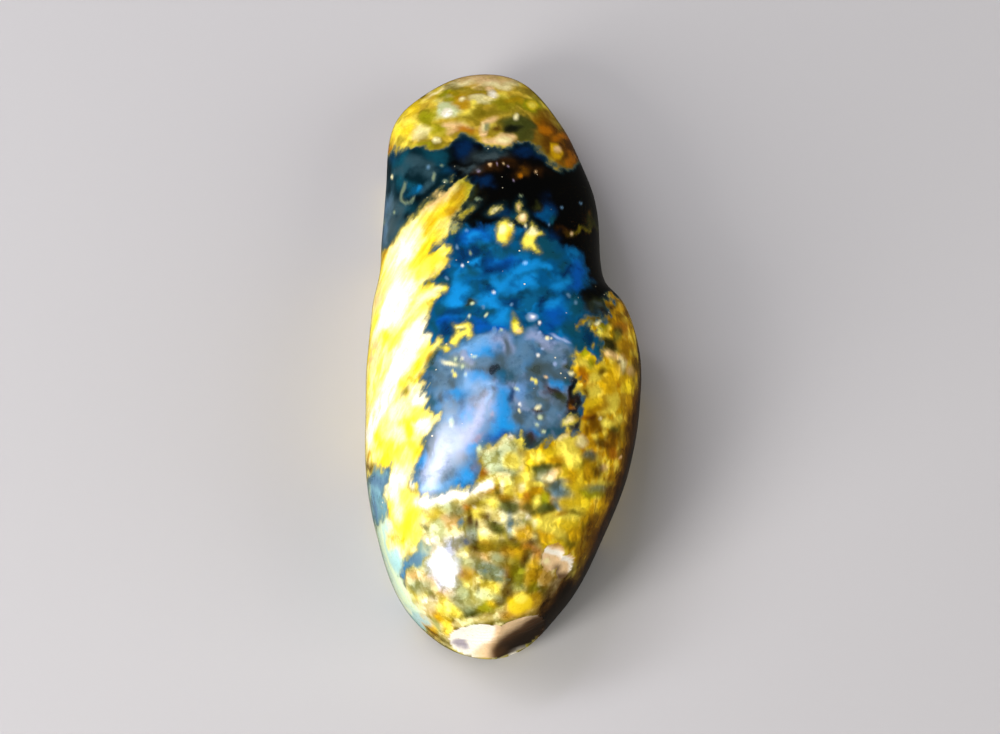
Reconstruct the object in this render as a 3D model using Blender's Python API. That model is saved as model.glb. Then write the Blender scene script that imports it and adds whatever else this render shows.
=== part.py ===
"""Polished blue amber: one free-form stone, domed above, ground flat below, with two old chips.

The stone lies on its flat base. +Y runs along it to its thin far end, +Z is up, and the origin is
the middle of its bounding box at the base.
"""

import math

import bmesh
import bpy
import numpy as np
from mathutils import Vector

MM = 0.001

# Plan outline at the girdle, in mm, anticlockwise from the right-hand side. It has a straight
# flank at the far right, a waist at y = 4, a right-hand lobe and a blunt near end.
OUTLINE = (
    (6.8, 0.8),
    (6.4, 1.9),
    (5.5, 3.0),
    (5.1, 5.2),
    (4.8, 8.8),
    (4.3, 10.3),
    (3.1, 13.1),
    (0.9, 15.8),
    (-1.7, 16.2),
    (-4.2, 15.0),
    (-5.8, 13.2),
    (-6.2, 9.5),
    (-6.4, 5.1),
    (-6.8, 2.0),
    (-7.0, -1.0),
    (-7.0, -4.9),
    (-6.4, -9.8),
    (-4.5, -14.3),
    (-2.3, -16.0),
    (0.3, -16.2),
    (3.0, -13.8),
    (5.0, -10.2),
    (6.4, -6.6),
    (7.0, -3.3),
    (7.1, -1.0),
)

OVAL = (6.9, 16.2)  # mm, half width and half length of the oval that the dome nears at its crest
GIRDLE = 2.4  # mm, height of the widest level
CREST = 8.0  # mm, height that the dome would have over the origin
CREST_FALL = 0.15  # mm lost per mm towards the far end
SHOULDER = 2.5  # dome exponent: 2 is an ellipse, more is squarer
BASE_INSET = 1.1  # mm that the rounded lower edge comes in by at the base

AROUND = 96
CROWN_RINGS = 22
UNDER_RINGS = 6

# Each chip is a shallow scoop: its deepest point in mm, the way it faces, and the radius in mm of
# the ball that fits it. The two at the end meet in an upright ridge, and so do those of the flank.
CHIPS = {
    "end_left": ((-1.1, -15.75, 3.2), (-0.02, -0.995, 0.08), 14.0),
    "end_right": ((0.75, -15.35, 3.0), (0.36, -0.93, 0.05), 14.0),
    "flank_upper": ((2.25, -12.65, 6.45), (0.65, -0.49, 0.59), 1.2),
    "flank_lower": ((2.85, -12.75, 5.5), (0.74, -0.55, 0.39), 1.0),
}
CUTTER_SEGMENTS = 64

AMBER_COLOUR = (0.33, 0.36, 0.16, 1.0)
AMBER_ROUGHNESS = 0.08
AMBER_IOR = 1.54
AMBER_TRANSMISSION = 0.3
SHARP_ANGLE = math.radians(35)


def clear_scene():
    for found in list(bpy.data.objects):
        bpy.data.objects.remove(found, do_unlink=True)


def reach(angles):
    """Distance in mm from the origin to the outline at each angle, by a closed cubic Hermite curve
    through OUTLINE, with each knot's slope the weighted mean of the slopes beside it."""
    points = np.array(OUTLINE)
    knots = np.unwrap(np.arctan2(points[:, 1], points[:, 0]))
    radii = np.hypot(points[:, 0], points[:, 1])
    turn = 2 * np.pi
    knots = np.concatenate([[knots[-1] - turn], knots, knots[:2] + turn])
    radii = np.concatenate([radii[-1:], radii, radii[:2]])
    widths = np.diff(knots)
    chords = np.diff(radii) / widths
    inner = (chords[:-1] * widths[1:] + chords[1:] * widths[:-1]) / (widths[:-1] + widths[1:])
    slopes = np.concatenate([chords[:1], inner, chords[-1:]])
    angles = (np.asarray(angles) - knots[1]) % turn + knots[1]
    left = np.clip(np.searchsorted(knots, angles, side="right") - 1, 0, len(widths) - 1)
    width = widths[left]
    t = (angles - knots[left]) / width
    return (
        (1 + 2 * t) * (1 - t) ** 2 * radii[left]
        + t * (1 - t) ** 2 * width * slopes[left]
        + t**2 * (3 - 2 * t) * radii[left + 1]
        + t**2 * (t - 1) * width * slopes[left + 1]
    )


def bearings():
    """Angles that step round the oval, so that they are closest together at the stone's ends."""
    steps = np.linspace(0, 2 * np.pi, AROUND, endpoint=False)
    return np.arctan2(OVAL[1] * np.sin(steps), OVAL[0] * np.cos(steps))


def crown_ring(share, angles):
    """Points in mm on the dome at this share of the way out from the crest to the outline. A ring
    is the plain oval near the crest and takes on the outline's waist and lobe as it goes out."""
    oval = 1 / np.hypot(np.cos(angles) / OVAL[0], np.sin(angles) / OVAL[1])
    out = share * (oval + (reach(angles) - oval) * share)
    y = out * np.sin(angles)
    top = CREST - CREST_FALL * y
    z = GIRDLE + (top - GIRDLE) * (1 - share**SHOULDER) ** (1 / SHOULDER)
    return np.column_stack([out * np.cos(angles), y, z])


def under_ring(turn, angles):
    """Points in mm on the rounded lower edge, a quarter round from the girdle to the base."""
    out = reach(angles) - BASE_INSET * (1 - math.cos(turn))
    z = np.full_like(out, GIRDLE * (1 - math.sin(turn)))
    return np.column_stack([out * np.cos(angles), out * np.sin(angles), z])


def add_loop(mesh, points):
    """A closed loop of edges through points given in mm."""
    corners = [mesh.verts.new(Vector(point) * MM) for point in points]
    return [mesh.edges.new(pair) for pair in zip(corners, corners[1:] + corners[:1])]


def amber_material():
    material = bpy.data.materials.new("blue_amber")
    material.use_nodes = True
    shader = material.node_tree.nodes["Principled BSDF"]
    shader.inputs["Base Color"].default_value = AMBER_COLOUR
    shader.inputs["Roughness"].default_value = AMBER_ROUGHNESS
    shader.inputs["Metallic"].default_value = 0.0
    shader.inputs["IOR"].default_value = AMBER_IOR
    shader.inputs["Transmission Weight"].default_value = AMBER_TRANSMISSION
    return material


def make_stone():
    """The whole polished stone: loops from the base up to the crest, bridged into one skin."""
    angles = bearings()
    turns = np.linspace(np.pi / 2, 0, UNDER_RINGS + 1)
    shares = np.sin(np.linspace(np.pi / 2, 0, CROWN_RINGS + 1))[1:-1]
    mesh = bmesh.new()
    loops = [add_loop(mesh, under_ring(turn, angles)) for turn in turns]
    loops += [add_loop(mesh, crown_ring(share, angles)) for share in shares]
    for lower, upper in zip(loops, loops[1:]):
        bmesh.ops.bridge_loops(mesh, edges=lower + upper)
    bmesh.ops.contextual_create(mesh, geom=loops[0])
    crest = mesh.verts.new((0.0, 0.0, CREST * MM))
    for edge in loops[-1]:
        mesh.faces.new((*edge.verts, crest))
    bmesh.ops.recalc_face_normals(mesh, faces=mesh.faces)
    data = bpy.data.meshes.new("amber")
    mesh.to_mesh(data)
    mesh.free()
    stone = bpy.data.objects.new("amber", data)
    bpy.context.collection.objects.link(stone)
    data.materials.append(amber_material())
    return stone


def cut_chip(stone, name, deepest, facing, radius):
    """Scoops one chip with a ball that touches its deepest point."""
    facing = Vector(facing).normalized()
    mesh = bmesh.new()
    bmesh.ops.create_uvsphere(
        mesh, u_segments=CUTTER_SEGMENTS, v_segments=CUTTER_SEGMENTS // 2, radius=radius * MM
    )
    data = bpy.data.meshes.new(f"{name}_cutter")
    mesh.to_mesh(data)
    mesh.free()
    cutter = bpy.data.objects.new(f"{name}_cutter", data)
    bpy.context.collection.objects.link(cutter)
    cutter.location = (Vector(deepest) + facing * radius) * MM
    cutter.hide_render = True
    cutter.display_type = "WIRE"
    scoop = stone.modifiers.new(f"{name}_chip", "BOOLEAN")
    scoop.operation = "DIFFERENCE"
    scoop.solver = "EXACT"
    scoop.object = cutter


def main():
    clear_scene()
    stone = make_stone()
    for name, chip in CHIPS.items():
        cut_chip(stone, name, *chip)
    stone.data.shade_smooth()
    stone.data.set_sharp_from_angle(angle=SHARP_ANGLE)


main()
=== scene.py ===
# %% [markdown]
# A polished blue amber.
# Blue amber is fossil resin that glows blue in daylight where it is clear enough to look into.
# This piece is a free-form pebble, ground and polished all over. It has milky yellow clouds with
# flow lines in them, a blue pool in the middle, a nearly black clear belt and two small old chips.
# The lesson makes one closed surface with numpy, paints the clouds on its points as named shapes,
# and leaves everything finer than those points to the nodes of one material.

# %% Load the frame
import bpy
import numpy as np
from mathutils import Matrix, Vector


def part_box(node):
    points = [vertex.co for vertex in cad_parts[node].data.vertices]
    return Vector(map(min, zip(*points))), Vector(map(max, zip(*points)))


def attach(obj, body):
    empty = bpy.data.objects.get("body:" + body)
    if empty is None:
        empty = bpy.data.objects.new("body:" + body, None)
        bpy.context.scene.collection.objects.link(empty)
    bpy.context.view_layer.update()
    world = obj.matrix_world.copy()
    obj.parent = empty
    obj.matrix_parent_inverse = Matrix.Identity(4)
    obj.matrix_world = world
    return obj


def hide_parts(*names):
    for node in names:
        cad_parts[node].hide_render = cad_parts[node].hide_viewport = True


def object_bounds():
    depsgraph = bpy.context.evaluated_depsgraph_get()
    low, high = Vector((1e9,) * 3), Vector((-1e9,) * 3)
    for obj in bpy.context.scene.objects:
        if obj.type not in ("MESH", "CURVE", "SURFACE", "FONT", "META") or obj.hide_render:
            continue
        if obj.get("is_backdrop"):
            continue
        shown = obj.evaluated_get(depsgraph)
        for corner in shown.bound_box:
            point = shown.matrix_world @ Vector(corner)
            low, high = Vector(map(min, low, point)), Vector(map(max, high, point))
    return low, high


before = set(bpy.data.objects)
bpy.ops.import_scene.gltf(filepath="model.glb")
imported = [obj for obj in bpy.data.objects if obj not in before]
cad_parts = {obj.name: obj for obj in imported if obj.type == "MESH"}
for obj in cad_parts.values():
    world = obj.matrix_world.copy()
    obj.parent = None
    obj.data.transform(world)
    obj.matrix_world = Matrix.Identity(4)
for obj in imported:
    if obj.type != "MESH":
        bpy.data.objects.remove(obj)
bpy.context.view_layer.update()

# %% [markdown]
# The frame holds the plain solid of the stone, at its real size and where it lies.
# The fine surface has to fill the same box, so the box is read from the frame before anything
# else. Lengths below are in millimetres, because a pebble of this size is easiest to think of in
# them, and MM turns them into the metres that Blender works in.

MM = 0.001

box_low, box_high = (np.array(corner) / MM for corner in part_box("amber"))
print("solid in mm", np.round(box_high - box_low, 2))

# %% [markdown]
# The stone's plan outline was cut by eye to keep as much amber as possible, so it isn't an oval.
# It has a straight flank at the far right, a waist, a lobe on the right and a blunt near end.
# A few points on it are enough, because a smooth closed curve through them gives the rest.
# A Hermite curve is chosen over a spline fit because it stays close to its points.

# %% The outline of the stone
OUTLINE = np.array([
    (6.8, 0.8), (6.4, 1.9), (5.5, 3.0), (5.1, 5.2), (4.8, 8.8), (4.3, 10.3), (3.1, 13.1), (0.9, 15.8),
    (-1.7, 16.2), (-4.2, 15.0), (-5.8, 13.2), (-6.2, 9.5), (-6.4, 5.1), (-6.8, 2.0), (-7.0, -1.0),
    (-7.0, -4.9), (-6.4, -9.8), (-4.5, -14.3), (-2.3, -16.0), (0.3, -16.2), (3.0, -13.8), (5.0, -10.2),
    (6.4, -6.6), (7.0, -3.3), (7.1, -1.0),
])
TURN = 2 * np.pi


def reach(angles):
    """Distance from the middle to the outline at each angle.

    Between two points t runs from 0 to 1, and the distance is each end's value times a weight
    that falls off smoothly, plus each end's slope times a weight that is 0 at both ends. The
    slope at a point is the mean of the slopes beside it, weighted to the nearer one.
    """
    knots = np.unwrap(np.arctan2(OUTLINE[:, 1], OUTLINE[:, 0]))
    radii = np.hypot(OUTLINE[:, 0], OUTLINE[:, 1])
    knots = np.concatenate([[knots[-1] - TURN], knots, knots[:2] + TURN])
    radii = np.concatenate([radii[-1:], radii, radii[:2]])
    widths = np.diff(knots)
    chords = np.diff(radii) / widths
    inner = (chords[:-1] * widths[1:] + chords[1:] * widths[:-1]) / (widths[:-1] + widths[1:])
    slopes = np.concatenate([chords[:1], inner, chords[-1:]])
    angles = (angles - knots[1]) % TURN + knots[1]
    left = np.clip(np.searchsorted(knots, angles, side="right") - 1, 0, len(widths) - 1)
    width = widths[left]
    t = (angles - knots[left]) / width
    return (
        (1 + 2 * t) * (1 - t) ** 2 * radii[left]
        + t * (1 - t) ** 2 * width * slopes[left]
        + t**2 * (3 - 2 * t) * radii[left + 1]
        + t**2 * (t - 1) * width * slopes[left + 1]
    )


# %% [markdown]
# The body is a dome on a ground flat base. A sculptor would drag it out of a sphere, but then
# nothing would say what its height or its shoulders are. Here it is a surface of two parameters:
# the angle round the stone, and the share of the way from the crest out to the outline. Going
# out, the dome drops as a superellipse, which is fuller at the shoulder than a plain ellipse.
# Under the widest level a quarter round turns in to the base, and the base closes in the middle.

# %% The dome, the lower edge and the base
OVAL = (6.9, 16.2)  # half width and half length of the oval that the dome nears at its crest
GIRDLE = 2.4  # height of the widest level
CREST = 8.0  # height that the dome would have over the middle
CREST_FALL = 0.15  # height lost for each mm towards the far end
SHOULDER = 2.5  # 2 is an ellipse, more is squarer
BASE_INSET = 1.1  # how far the rounded lower edge comes in

AROUND = 520
CROWN_ROWS = 164
EDGE_ROWS = 12
BASE_ROWS = 8
PROFILE_STEPS = 4000  # points that the dome's profile is measured by

steps = np.linspace(0, TURN, AROUND, endpoint=False)
angles = np.arctan2(OVAL[1] * np.sin(steps), OVAL[0] * np.cos(steps))


def even_shares(rows):
    """Shares from crest to outline that split the dome's profile in rows of even length: the
    length is summed along a finely drawn superellipse, and shares are read off at even steps."""
    drawn = 1 - (1 - np.linspace(0, 1, PROFILE_STEPS)) ** 2
    drop = (CREST - GIRDLE) * (1 - drawn**SHOULDER) ** (1 / SHOULDER)
    length = np.concatenate([[0], np.cumsum(np.hypot(np.diff(drawn * OVAL[0]), np.diff(drop)))])
    return np.interp(np.linspace(0, length[-1], rows + 1)[1:], length, drawn)


def crown(share):
    """The dome. Its radius at an angle is the share times the oval's radius, and the outline's
    waist and lobe come in with the square of the share. Its height is the superellipse."""
    oval = 1 / np.hypot(np.cos(angles) / OVAL[0], np.sin(angles) / OVAL[1])
    out = share * (oval + (reach(angles) - oval) * share)
    y = out * np.sin(angles)
    rise = (CREST - CREST_FALL * y - GIRDLE) * (1 - share**SHOULDER) ** (1 / SHOULDER)
    return np.stack([out * np.cos(angles), y, GIRDLE + rise], axis=-1)


def lower_edge(turn):
    """The quarter round: in by BASE_INSET times one less the cosine, down by the sine."""
    out = reach(angles) - BASE_INSET * (1 - np.cos(turn))
    z = GIRDLE * (1 - np.sin(turn)) + 0 * out
    return np.stack([out * np.cos(angles), out * np.sin(angles), z], axis=-1)


def base(share):
    """The flat base: the rim's own shape, drawn in towards the middle."""
    rim = lower_edge(np.array([[np.pi / 2]]))
    return rim * share[..., None]


shares = even_shares(CROWN_ROWS)[:, None]
turns = np.linspace(0, np.pi / 2, EDGE_ROWS + 1)[1:, None]
insets = np.linspace(1, 0, BASE_ROWS + 1)[1:-1, None]
surface = np.concatenate([crown(shares), lower_edge(turns), base(insets)])
print("grid", surface.shape, "widest", np.round(np.ptp(surface, axis=(0, 1)), 2))

# %% [markdown]
# Two old chips show at the near end, each of two hollows. One took off the very tip, and its
# shallow hollows meet in an upright ridge. The other is a small nick on the right shoulder. Resin
# breaks like glass, with faint ripples round the point that was struck. A Boolean cut would leave
# a tangle of thin triangles at the rim. Instead, each point that lies inside a ball is drawn
# back, along its line to a spot deep in the stone, until it lies on the ball.

# %% The chips
CHIPS = (  # deepest point, the way it faces, radius of the ball that fits it
    ((-1.1, -15.75, 3.2), (-0.02, -0.995, 0.08), 14.0),
    ((0.75, -15.35, 3.0), (0.36, -0.93, 0.05), 14.0),
    ((2.25, -12.65, 6.45), (0.65, -0.49, 0.59), 1.2),
    ((2.85, -12.75, 5.5), (0.74, -0.55, 0.39), 1.0),
)
HEART = np.array((0.2, -11.0, 3.4))  # the spot deep in the stone
STRUCK_ABOVE = 1.6  # height of the point that was struck over a hollow's deepest point
RIPPLE_HEIGHT = 0.015
RIPPLE_LENGTH = 0.42


def struck(points, deepest, facing, radius):
    """How much of the line from HEART to each point is left after one chip: the nearer root of
    the quadratic that says where the line meets the ball, or 1 where it doesn't reach it."""
    facing = np.array(facing) / np.linalg.norm(facing)
    deepest = np.array(deepest)
    from_point = np.linalg.norm(points - (deepest + (0, 0, STRUCK_ABOVE)), axis=-1)
    ripple = RIPPLE_HEIGHT * np.sin(TURN * from_point / RIPPLE_LENGTH)
    centre = deepest + facing * radius
    ray = points - HEART
    to_centre = centre - HEART
    a = (ray**2).sum(-1)
    b = (ray * to_centre).sum(-1)
    c = (to_centre**2).sum() - (radius + ripple) ** 2
    inside = b**2 - a * c
    root = (b - np.sqrt(np.maximum(inside, 0))) / a
    return np.where((inside > 0) & (root > 0), np.minimum(root, 1), 1)


kept_share = np.min([struck(surface, *chip) for chip in CHIPS], axis=0)
chip_depth = (1 - kept_share) * np.linalg.norm(surface - HEART, axis=-1)
surface = HEART + (surface - HEART) * kept_share[..., None]
print("deepest chip in mm", round(float(chip_depth.max()), 2))

# %% [markdown]
# The grid is now stretched by a hair so that it fills the solid's box exactly, and the rows are
# joined into faces. The crest and the middle of the base are single points, joined by triangles,
# so that both poles are closed.

# %% Fit and join the grid
SHARP_ANGLE = np.radians(32)  # faces that meet at more than this keep a crisp edge

low, high = surface.min(axis=(0, 1)), surface.max(axis=(0, 1))
high[2] = max(high[2], CREST)
surface = box_low + (surface - low) * (box_high - box_low) / (high - low)


def closed_mesh(name, rows):
    """A mesh from rows of points: quads between rows, and a fan of triangles at either end to
    the mean of the first row and of the last."""
    count, around = rows.shape[:2]
    points = np.concatenate([rows.reshape(-1, 3), [rows[0].mean(0), rows[-1].mean(0)]])
    ring = np.arange(around)
    ahead = np.roll(ring, -1)
    first = (np.arange(count - 1) * around)[:, None]
    quads = np.stack([first + ring, first + around + ring, first + around + ahead, first + ahead])
    quads = np.moveaxis(quads, 0, -1).reshape(-1, 4)
    top = np.stack([ring, ahead, np.full(around, count * around)], axis=-1)
    end = (count - 1) * around
    bottom = np.stack([end + ahead, end + ring, np.full(around, count * around + 1)], axis=-1)
    mesh = bpy.data.meshes.new(name)
    mesh.from_pydata(points * MM, [], [*quads.tolist(), *top.tolist(), *bottom.tolist()])
    mesh.validate()
    return mesh, points


stone_mesh, points = closed_mesh("polished_amber", surface)
stone = bpy.data.objects.new("polished_amber", stone_mesh)
bpy.context.collection.objects.link(stone)
stone_mesh.shade_smooth()
stone_mesh.set_sharp_from_angle(angle=SHARP_ANGLE)
print("points", len(points), "faces", len(stone_mesh.polygons))

# %% [markdown]
# The clouds are where the resin turned milky, and they were laid down as it flowed. They can't
# be a picture, so they are drawn as a painter would: named shapes, each laid over the last. The
# shapes live on a sheet that is seen from 66 degrees up, as the stone mostly is. Its two
# coordinates are across, to the right, and along, to the far end.

# %% The sheet that the shapes are drawn on
SIGHT = np.radians(66)
SIGHT_HEIGHT = 2.5

across = points[:, 0]
along = points[:, 1] * np.sin(SIGHT) + (points[:, 2] - SIGHT_HEIGHT) * np.cos(SIGHT)
depth = points[:, 2] * np.sin(SIGHT) - points[:, 1] * np.cos(SIGHT)
space = np.stack([across, along, depth], axis=-1)
print("sheet", np.round(space.min(0), 1), np.round(space.max(0), 1))

# %% [markdown]
# No cloud has a clean edge. Noise makes edges ragged, and noise that is read from squeezed
# coordinates is drawn out into fibres, which is how the flow lines of the resin look. Blender's
# noise nodes can't be read here, so a lattice of random numbers is blended by hand.

# %% Noise
SEED = 11
LATTICE_SIDE = 32
LATTICE = np.random.default_rng(SEED).random((LATTICE_SIDE,) * 3)
OCTAVE_SHIFT = 7.3  # moves each octave on, so that they don't line up

PLUME_FLOW = 58  # degrees from across towards along, of the plume's fibres
LOBE_FLOW = 97  # and of the lobe's folds


def noise(size, octaves=3, shift=0.0, place=None):
    """Smooth noise from about 0 to 1. Each point's lattice cell gives eight random numbers, and
    they are blended with the weights 3 t squared less 2 t cubed along each axis. Every further
    octave is half as large and half as strong."""
    place = space if place is None else place
    total = 0
    for octave in range(octaves):
        at = place * 2**octave / size + shift + OCTAVE_SHIFT * octave
        cell = np.floor(at).astype(int)
        t = at - cell
        t = t * t * (3 - 2 * t)
        value = 0
        for corner in np.ndindex(2, 2, 2):
            weight = np.prod(np.where(corner, t, 1 - t), axis=-1)
            value = value + weight * LATTICE[tuple(((cell + corner) % LATTICE_SIDE).T)]
        total = total + (value - 0.5) / 2**octave
    return 0.5 + total


def combed(degrees, squeeze):
    """The points with their coordinate along a direction divided by squeeze, so that noise read
    there is drawn out that way. The direction is in degrees from across towards along."""
    turn = np.radians(degrees)
    with_it = across * np.cos(turn) + along * np.sin(turn)
    over_it = along * np.cos(turn) - across * np.sin(turn)
    return np.stack([with_it / squeeze, over_it, depth], axis=-1)


def contrast(values, low, high):
    """0 below low, 1 above high and a smooth step between: 3 t squared less 2 t cubed, where t is
    the share of the way from low to high. With low above high it falls instead."""
    t = np.clip((values - low) / (high - low), 0, 1)
    return t * t * (3 - 2 * t)


# Edges wander where the photo can't see them: not at all from 2 mm up, and fully near the ground.
unseen = contrast(-points[:, 2], -2.0, -0.3)
wander = np.stack([noise(3.0, 2, 5.0), noise(3.0, 2, 9.0)], axis=-1) - 0.5
ragged = np.stack([noise(0.7, 4, 1.0), noise(0.7, 4, 3.0)], axis=-1) - 0.5
plumes = combed(PLUME_FLOW, 5)
feathered = (noise(0.4, 3, 2.0, plumes) - 0.5)[:, None] * (0.55, 0.85)
sheet = space[:, :2] + wander * unseen[:, None] * 5
# The sheet again, with edges torn coarsely, drawn out along the plumes, and torn a little.
rough = sheet + ragged * 0.55
feathery = sheet + ragged * 0.25 + feathered
fine = sheet + ragged * 0.2
print("noise from", np.round(noise(1.0).min(), 2), "to", np.round(noise(1.0).max(), 2))

# %% [markdown]
# Three kinds of shape are enough. Each one gives the distance in mm to its edge, more than 0
# inside, because a distance can be softened, joined with another or turned into a hole.

# %% Shapes
def blot(centre, length, width, degrees=0, on=rough):
    """An oval, by its half length and half width: one less the distance from its centre in units
    of its own radii, times the smaller radius."""
    turn = np.radians(degrees)
    offset = on - centre
    with_it = offset @ (np.cos(turn), np.sin(turn))
    over_it = offset @ (-np.sin(turn), np.cos(turn))
    return (1 - np.hypot(with_it / length, over_it / width)) * min(length, width)


def to_segment(start, end, on):
    """Distance to a straight piece: to the nearest of its points, which is where the offset from
    its start, measured along it, is held between 0 and its length."""
    run = np.subtract(end, start)
    share = np.clip((on - start) @ run / (run @ run), 0, 1)
    return np.linalg.norm(on - start - share[:, None] * run, axis=-1)


def strand(path, width, on=rough):
    """A stroke along a path: its half width less the distance to the nearest straight piece."""
    return width - np.min([to_segment(*ends, on) for ends in zip(path, path[1:])], axis=0)


def patch(outline, on=rough):
    """A closed outline: the distance to its nearest side, counted as inside where a line to the
    right crosses an odd number of sides."""
    inside = np.zeros(len(on), dtype=bool)
    nearest = np.full(len(on), np.inf)
    for start, end in zip(outline, outline[1:] + outline[:1]):
        nearest = np.minimum(nearest, to_segment(start, end, on))
        if start[1] != end[1]:
            spans = (on[:, 1] < start[1]) != (on[:, 1] < end[1])
            slope = (end[0] - start[0]) / (end[1] - start[1])
            inside ^= spans & (on[:, 0] < start[0] + (on[:, 1] - start[1]) * slope)
    return np.where(inside, nearest, -nearest)


# %% [markdown]
# The palette comes from looking at the stone: creams and yellows for the clouds, blues for the
# clear resin that glows, and browns and near black for the clear resin that doesn't. The blues
# are painted glow, the light that blue amber gives off in daylight, laid on as colour. The
# numbers are ordinary screen colours, turned into the linear light that shaders add up.

# %% Palette
PALETTE = {
    "white": (1.00, 0.98, 0.92), "cream": (0.98, 0.94, 0.70), "peach": (0.92, 0.77, 0.55),
    "lemon": (0.98, 0.91, 0.34), "yellow": (0.95, 0.82, 0.12), "gold": (0.86, 0.68, 0.04),
    "mustard": (0.70, 0.52, 0.03), "honey": (0.70, 0.42, 0.02), "olive": (0.46, 0.41, 0.05),
    "moss": (0.27, 0.29, 0.10), "umber": (0.28, 0.16, 0.02), "mint": (0.80, 0.85, 0.66),
    "lilac": (0.62, 0.68, 0.82), "slate": (0.38, 0.52, 0.62), "azure": (0.08, 0.60, 0.90),
    "blue": (0.01, 0.35, 0.55), "teal": (0.05, 0.30, 0.36), "navy": (0.01, 0.17, 0.34),
    "royal": (0.02, 0.36, 0.74), "amber": (0.43, 0.27, 0.01), "soot": (0.01, 0.03, 0.03),
    "mauve": (0.53, 0.48, 0.56), "sky": (0.52, 0.75, 0.95), "leaf": (0.58, 0.58, 0.04),
    "sage": (0.52, 0.57, 0.42), "fog": (0.27, 0.34, 0.35), "ice": (0.55, 0.74, 0.76),
}


def linear(name):
    """Screen value to linear light: the usual curve, a straight toe and then a power of 2.4."""
    value = np.array(PALETTE[name])
    return np.where(value < 0.04045, value / 12.92, ((value + 0.055) / 1.055) ** 2.4)


def cover(layer, name, share):
    """Moves each point of a layer by its share of the way to a palette colour."""
    layer += share[:, None] * (linear(name) - layer)


def lay(layer, name, shape, soft=0.3, strength=1.0):
    """Lays a palette colour over a layer: its share is strength inside the shape, 0 outside, and
    rises smoothly over a border that is soft mm wide, half of it inside."""
    cover(layer, name, strength * contrast(shape, -soft / 2, soft / 2))


WIDEST_BORDER = 1.6  # of a dab, in units of its smaller radius


def dabs(layer, soft, strength, rows, on=rough):
    """Lays ovals one over the other, each by its colour, the two coordinates of its centre, half
    length, half width and degrees. The border of a small one is narrowed to suit it."""
    for name, x, y, length, width, *degrees in rows:
        border = min(soft, WIDEST_BORDER * min(length, width))
        lay(layer, name, blot((x, y), length, width, *degrees, on=on), border, strength)


def fleck(layer, name, value, low, high, shape=None, strength=1.0):
    """Lays a palette colour where a value such as noise is high, inside a shape: its share rises
    from 0 at low to strength at high."""
    within = 1 if shape is None else contrast(shape, -0.2, 0.4)
    cover(layer, name, strength * within * contrast(value, low, high))


print("palette", len(PALETTE), "colours")

# %% [markdown]
# The clear resin comes first, as it lies under everything. In the middle it is a blue pool,
# whose blue is painted glow. The pool is bright in its upper half and hazy below, and both its
# ends are ragged.

# %% The blue pool
# The blue laid everywhere to start with is painted glow.
ground = np.tile(linear("blue"), (len(points), 1))

pool = patch([
    (-2.6, 6.5), (-2.9, 6.0), (-3.0, 5.6), (-3.6, 5.1), (-3.5, 5.0), (-2.9, 5.3), (-2.7, 4.9),
    (-2.7, 4.5), (-3.0, 4.2), (-3.4, 3.8), (-3.8, 3.3), (-3.5, 3.1), (-3.2, 3.2), (-3.2, 2.8),
    (-3.4, 2.3), (-3.7, 1.9), (-3.9, 1.4), (-3.9, 0.9), (-3.6, 0.7), (-3.2, 0.4), (-3.1, 0.1),
    (-3.3, -0.1), (-3.6, -0.5), (-3.9, -1.1), (-4.0, -1.5), (-3.8, -1.7), (-3.5, -1.9), (-3.5, -2.6),
    (-3.4, -3.0), (-3.0, -3.1), (-3.0, -3.4), (-3.3, -3.8), (-3.5, -4.1), (-3.8, -4.1), (-4.0, -4.7),
    (-4.1, -5.4), (-4.2, -5.9), (-4.4, -6.5), (-4.1, -7.0), (-3.8, -7.5), (-3.5, -7.3), (-3.2, -7.1),
    (-2.6, -6.8), (-1.9, -6.8), (-1.4, -6.6), (-1.3, -6.0), (-1.3, -5.5), (-1.1, -5.1), (-0.8, -4.7),
    (-0.5, -4.4), (-0.2, -4.4), (0.0, -4.2), (0.5, -4.1), (0.8, -4.2), (1.0, -4.8), (1.4, -4.9),
    (1.8, -4.6), (2.2, -4.4), (2.6, -4.2), (3.0, -4.0), (3.3, -3.3), (3.5, -3.9), (3.8, -4.0),
    (3.9, -3.1), (3.7, -2.2), (3.8, -1.5), (3.5, -0.8), (3.4, -0.2), (3.7, 0.2), (4.3, 0.2),
    (4.8, -0.4), (5.1, 0.0), (4.8, 0.5), (4.7, 1.0), (4.3, 1.2), (3.8, 1.1), (3.7, 1.4), (4.2, 1.6),
    (4.8, 1.4), (5.4, 1.5), (5.6, 2.1), (5.4, 2.5), (5.3, 3.0), (6.1, 4.2), (5.1, 6.9), (0.9, 7.4),
], on=feathery)
fleck(ground, "azure", noise(1.2, 4, 12.0), 0.5, 0.72, strength=0.38)
fleck(ground, "navy", noise(0.8, 4, 17.0), 0.56, 0.75, strength=0.6)
fleck(ground, "teal", noise(0.7, 4, 21.0), 0.54, 0.7, strength=0.55)
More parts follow.
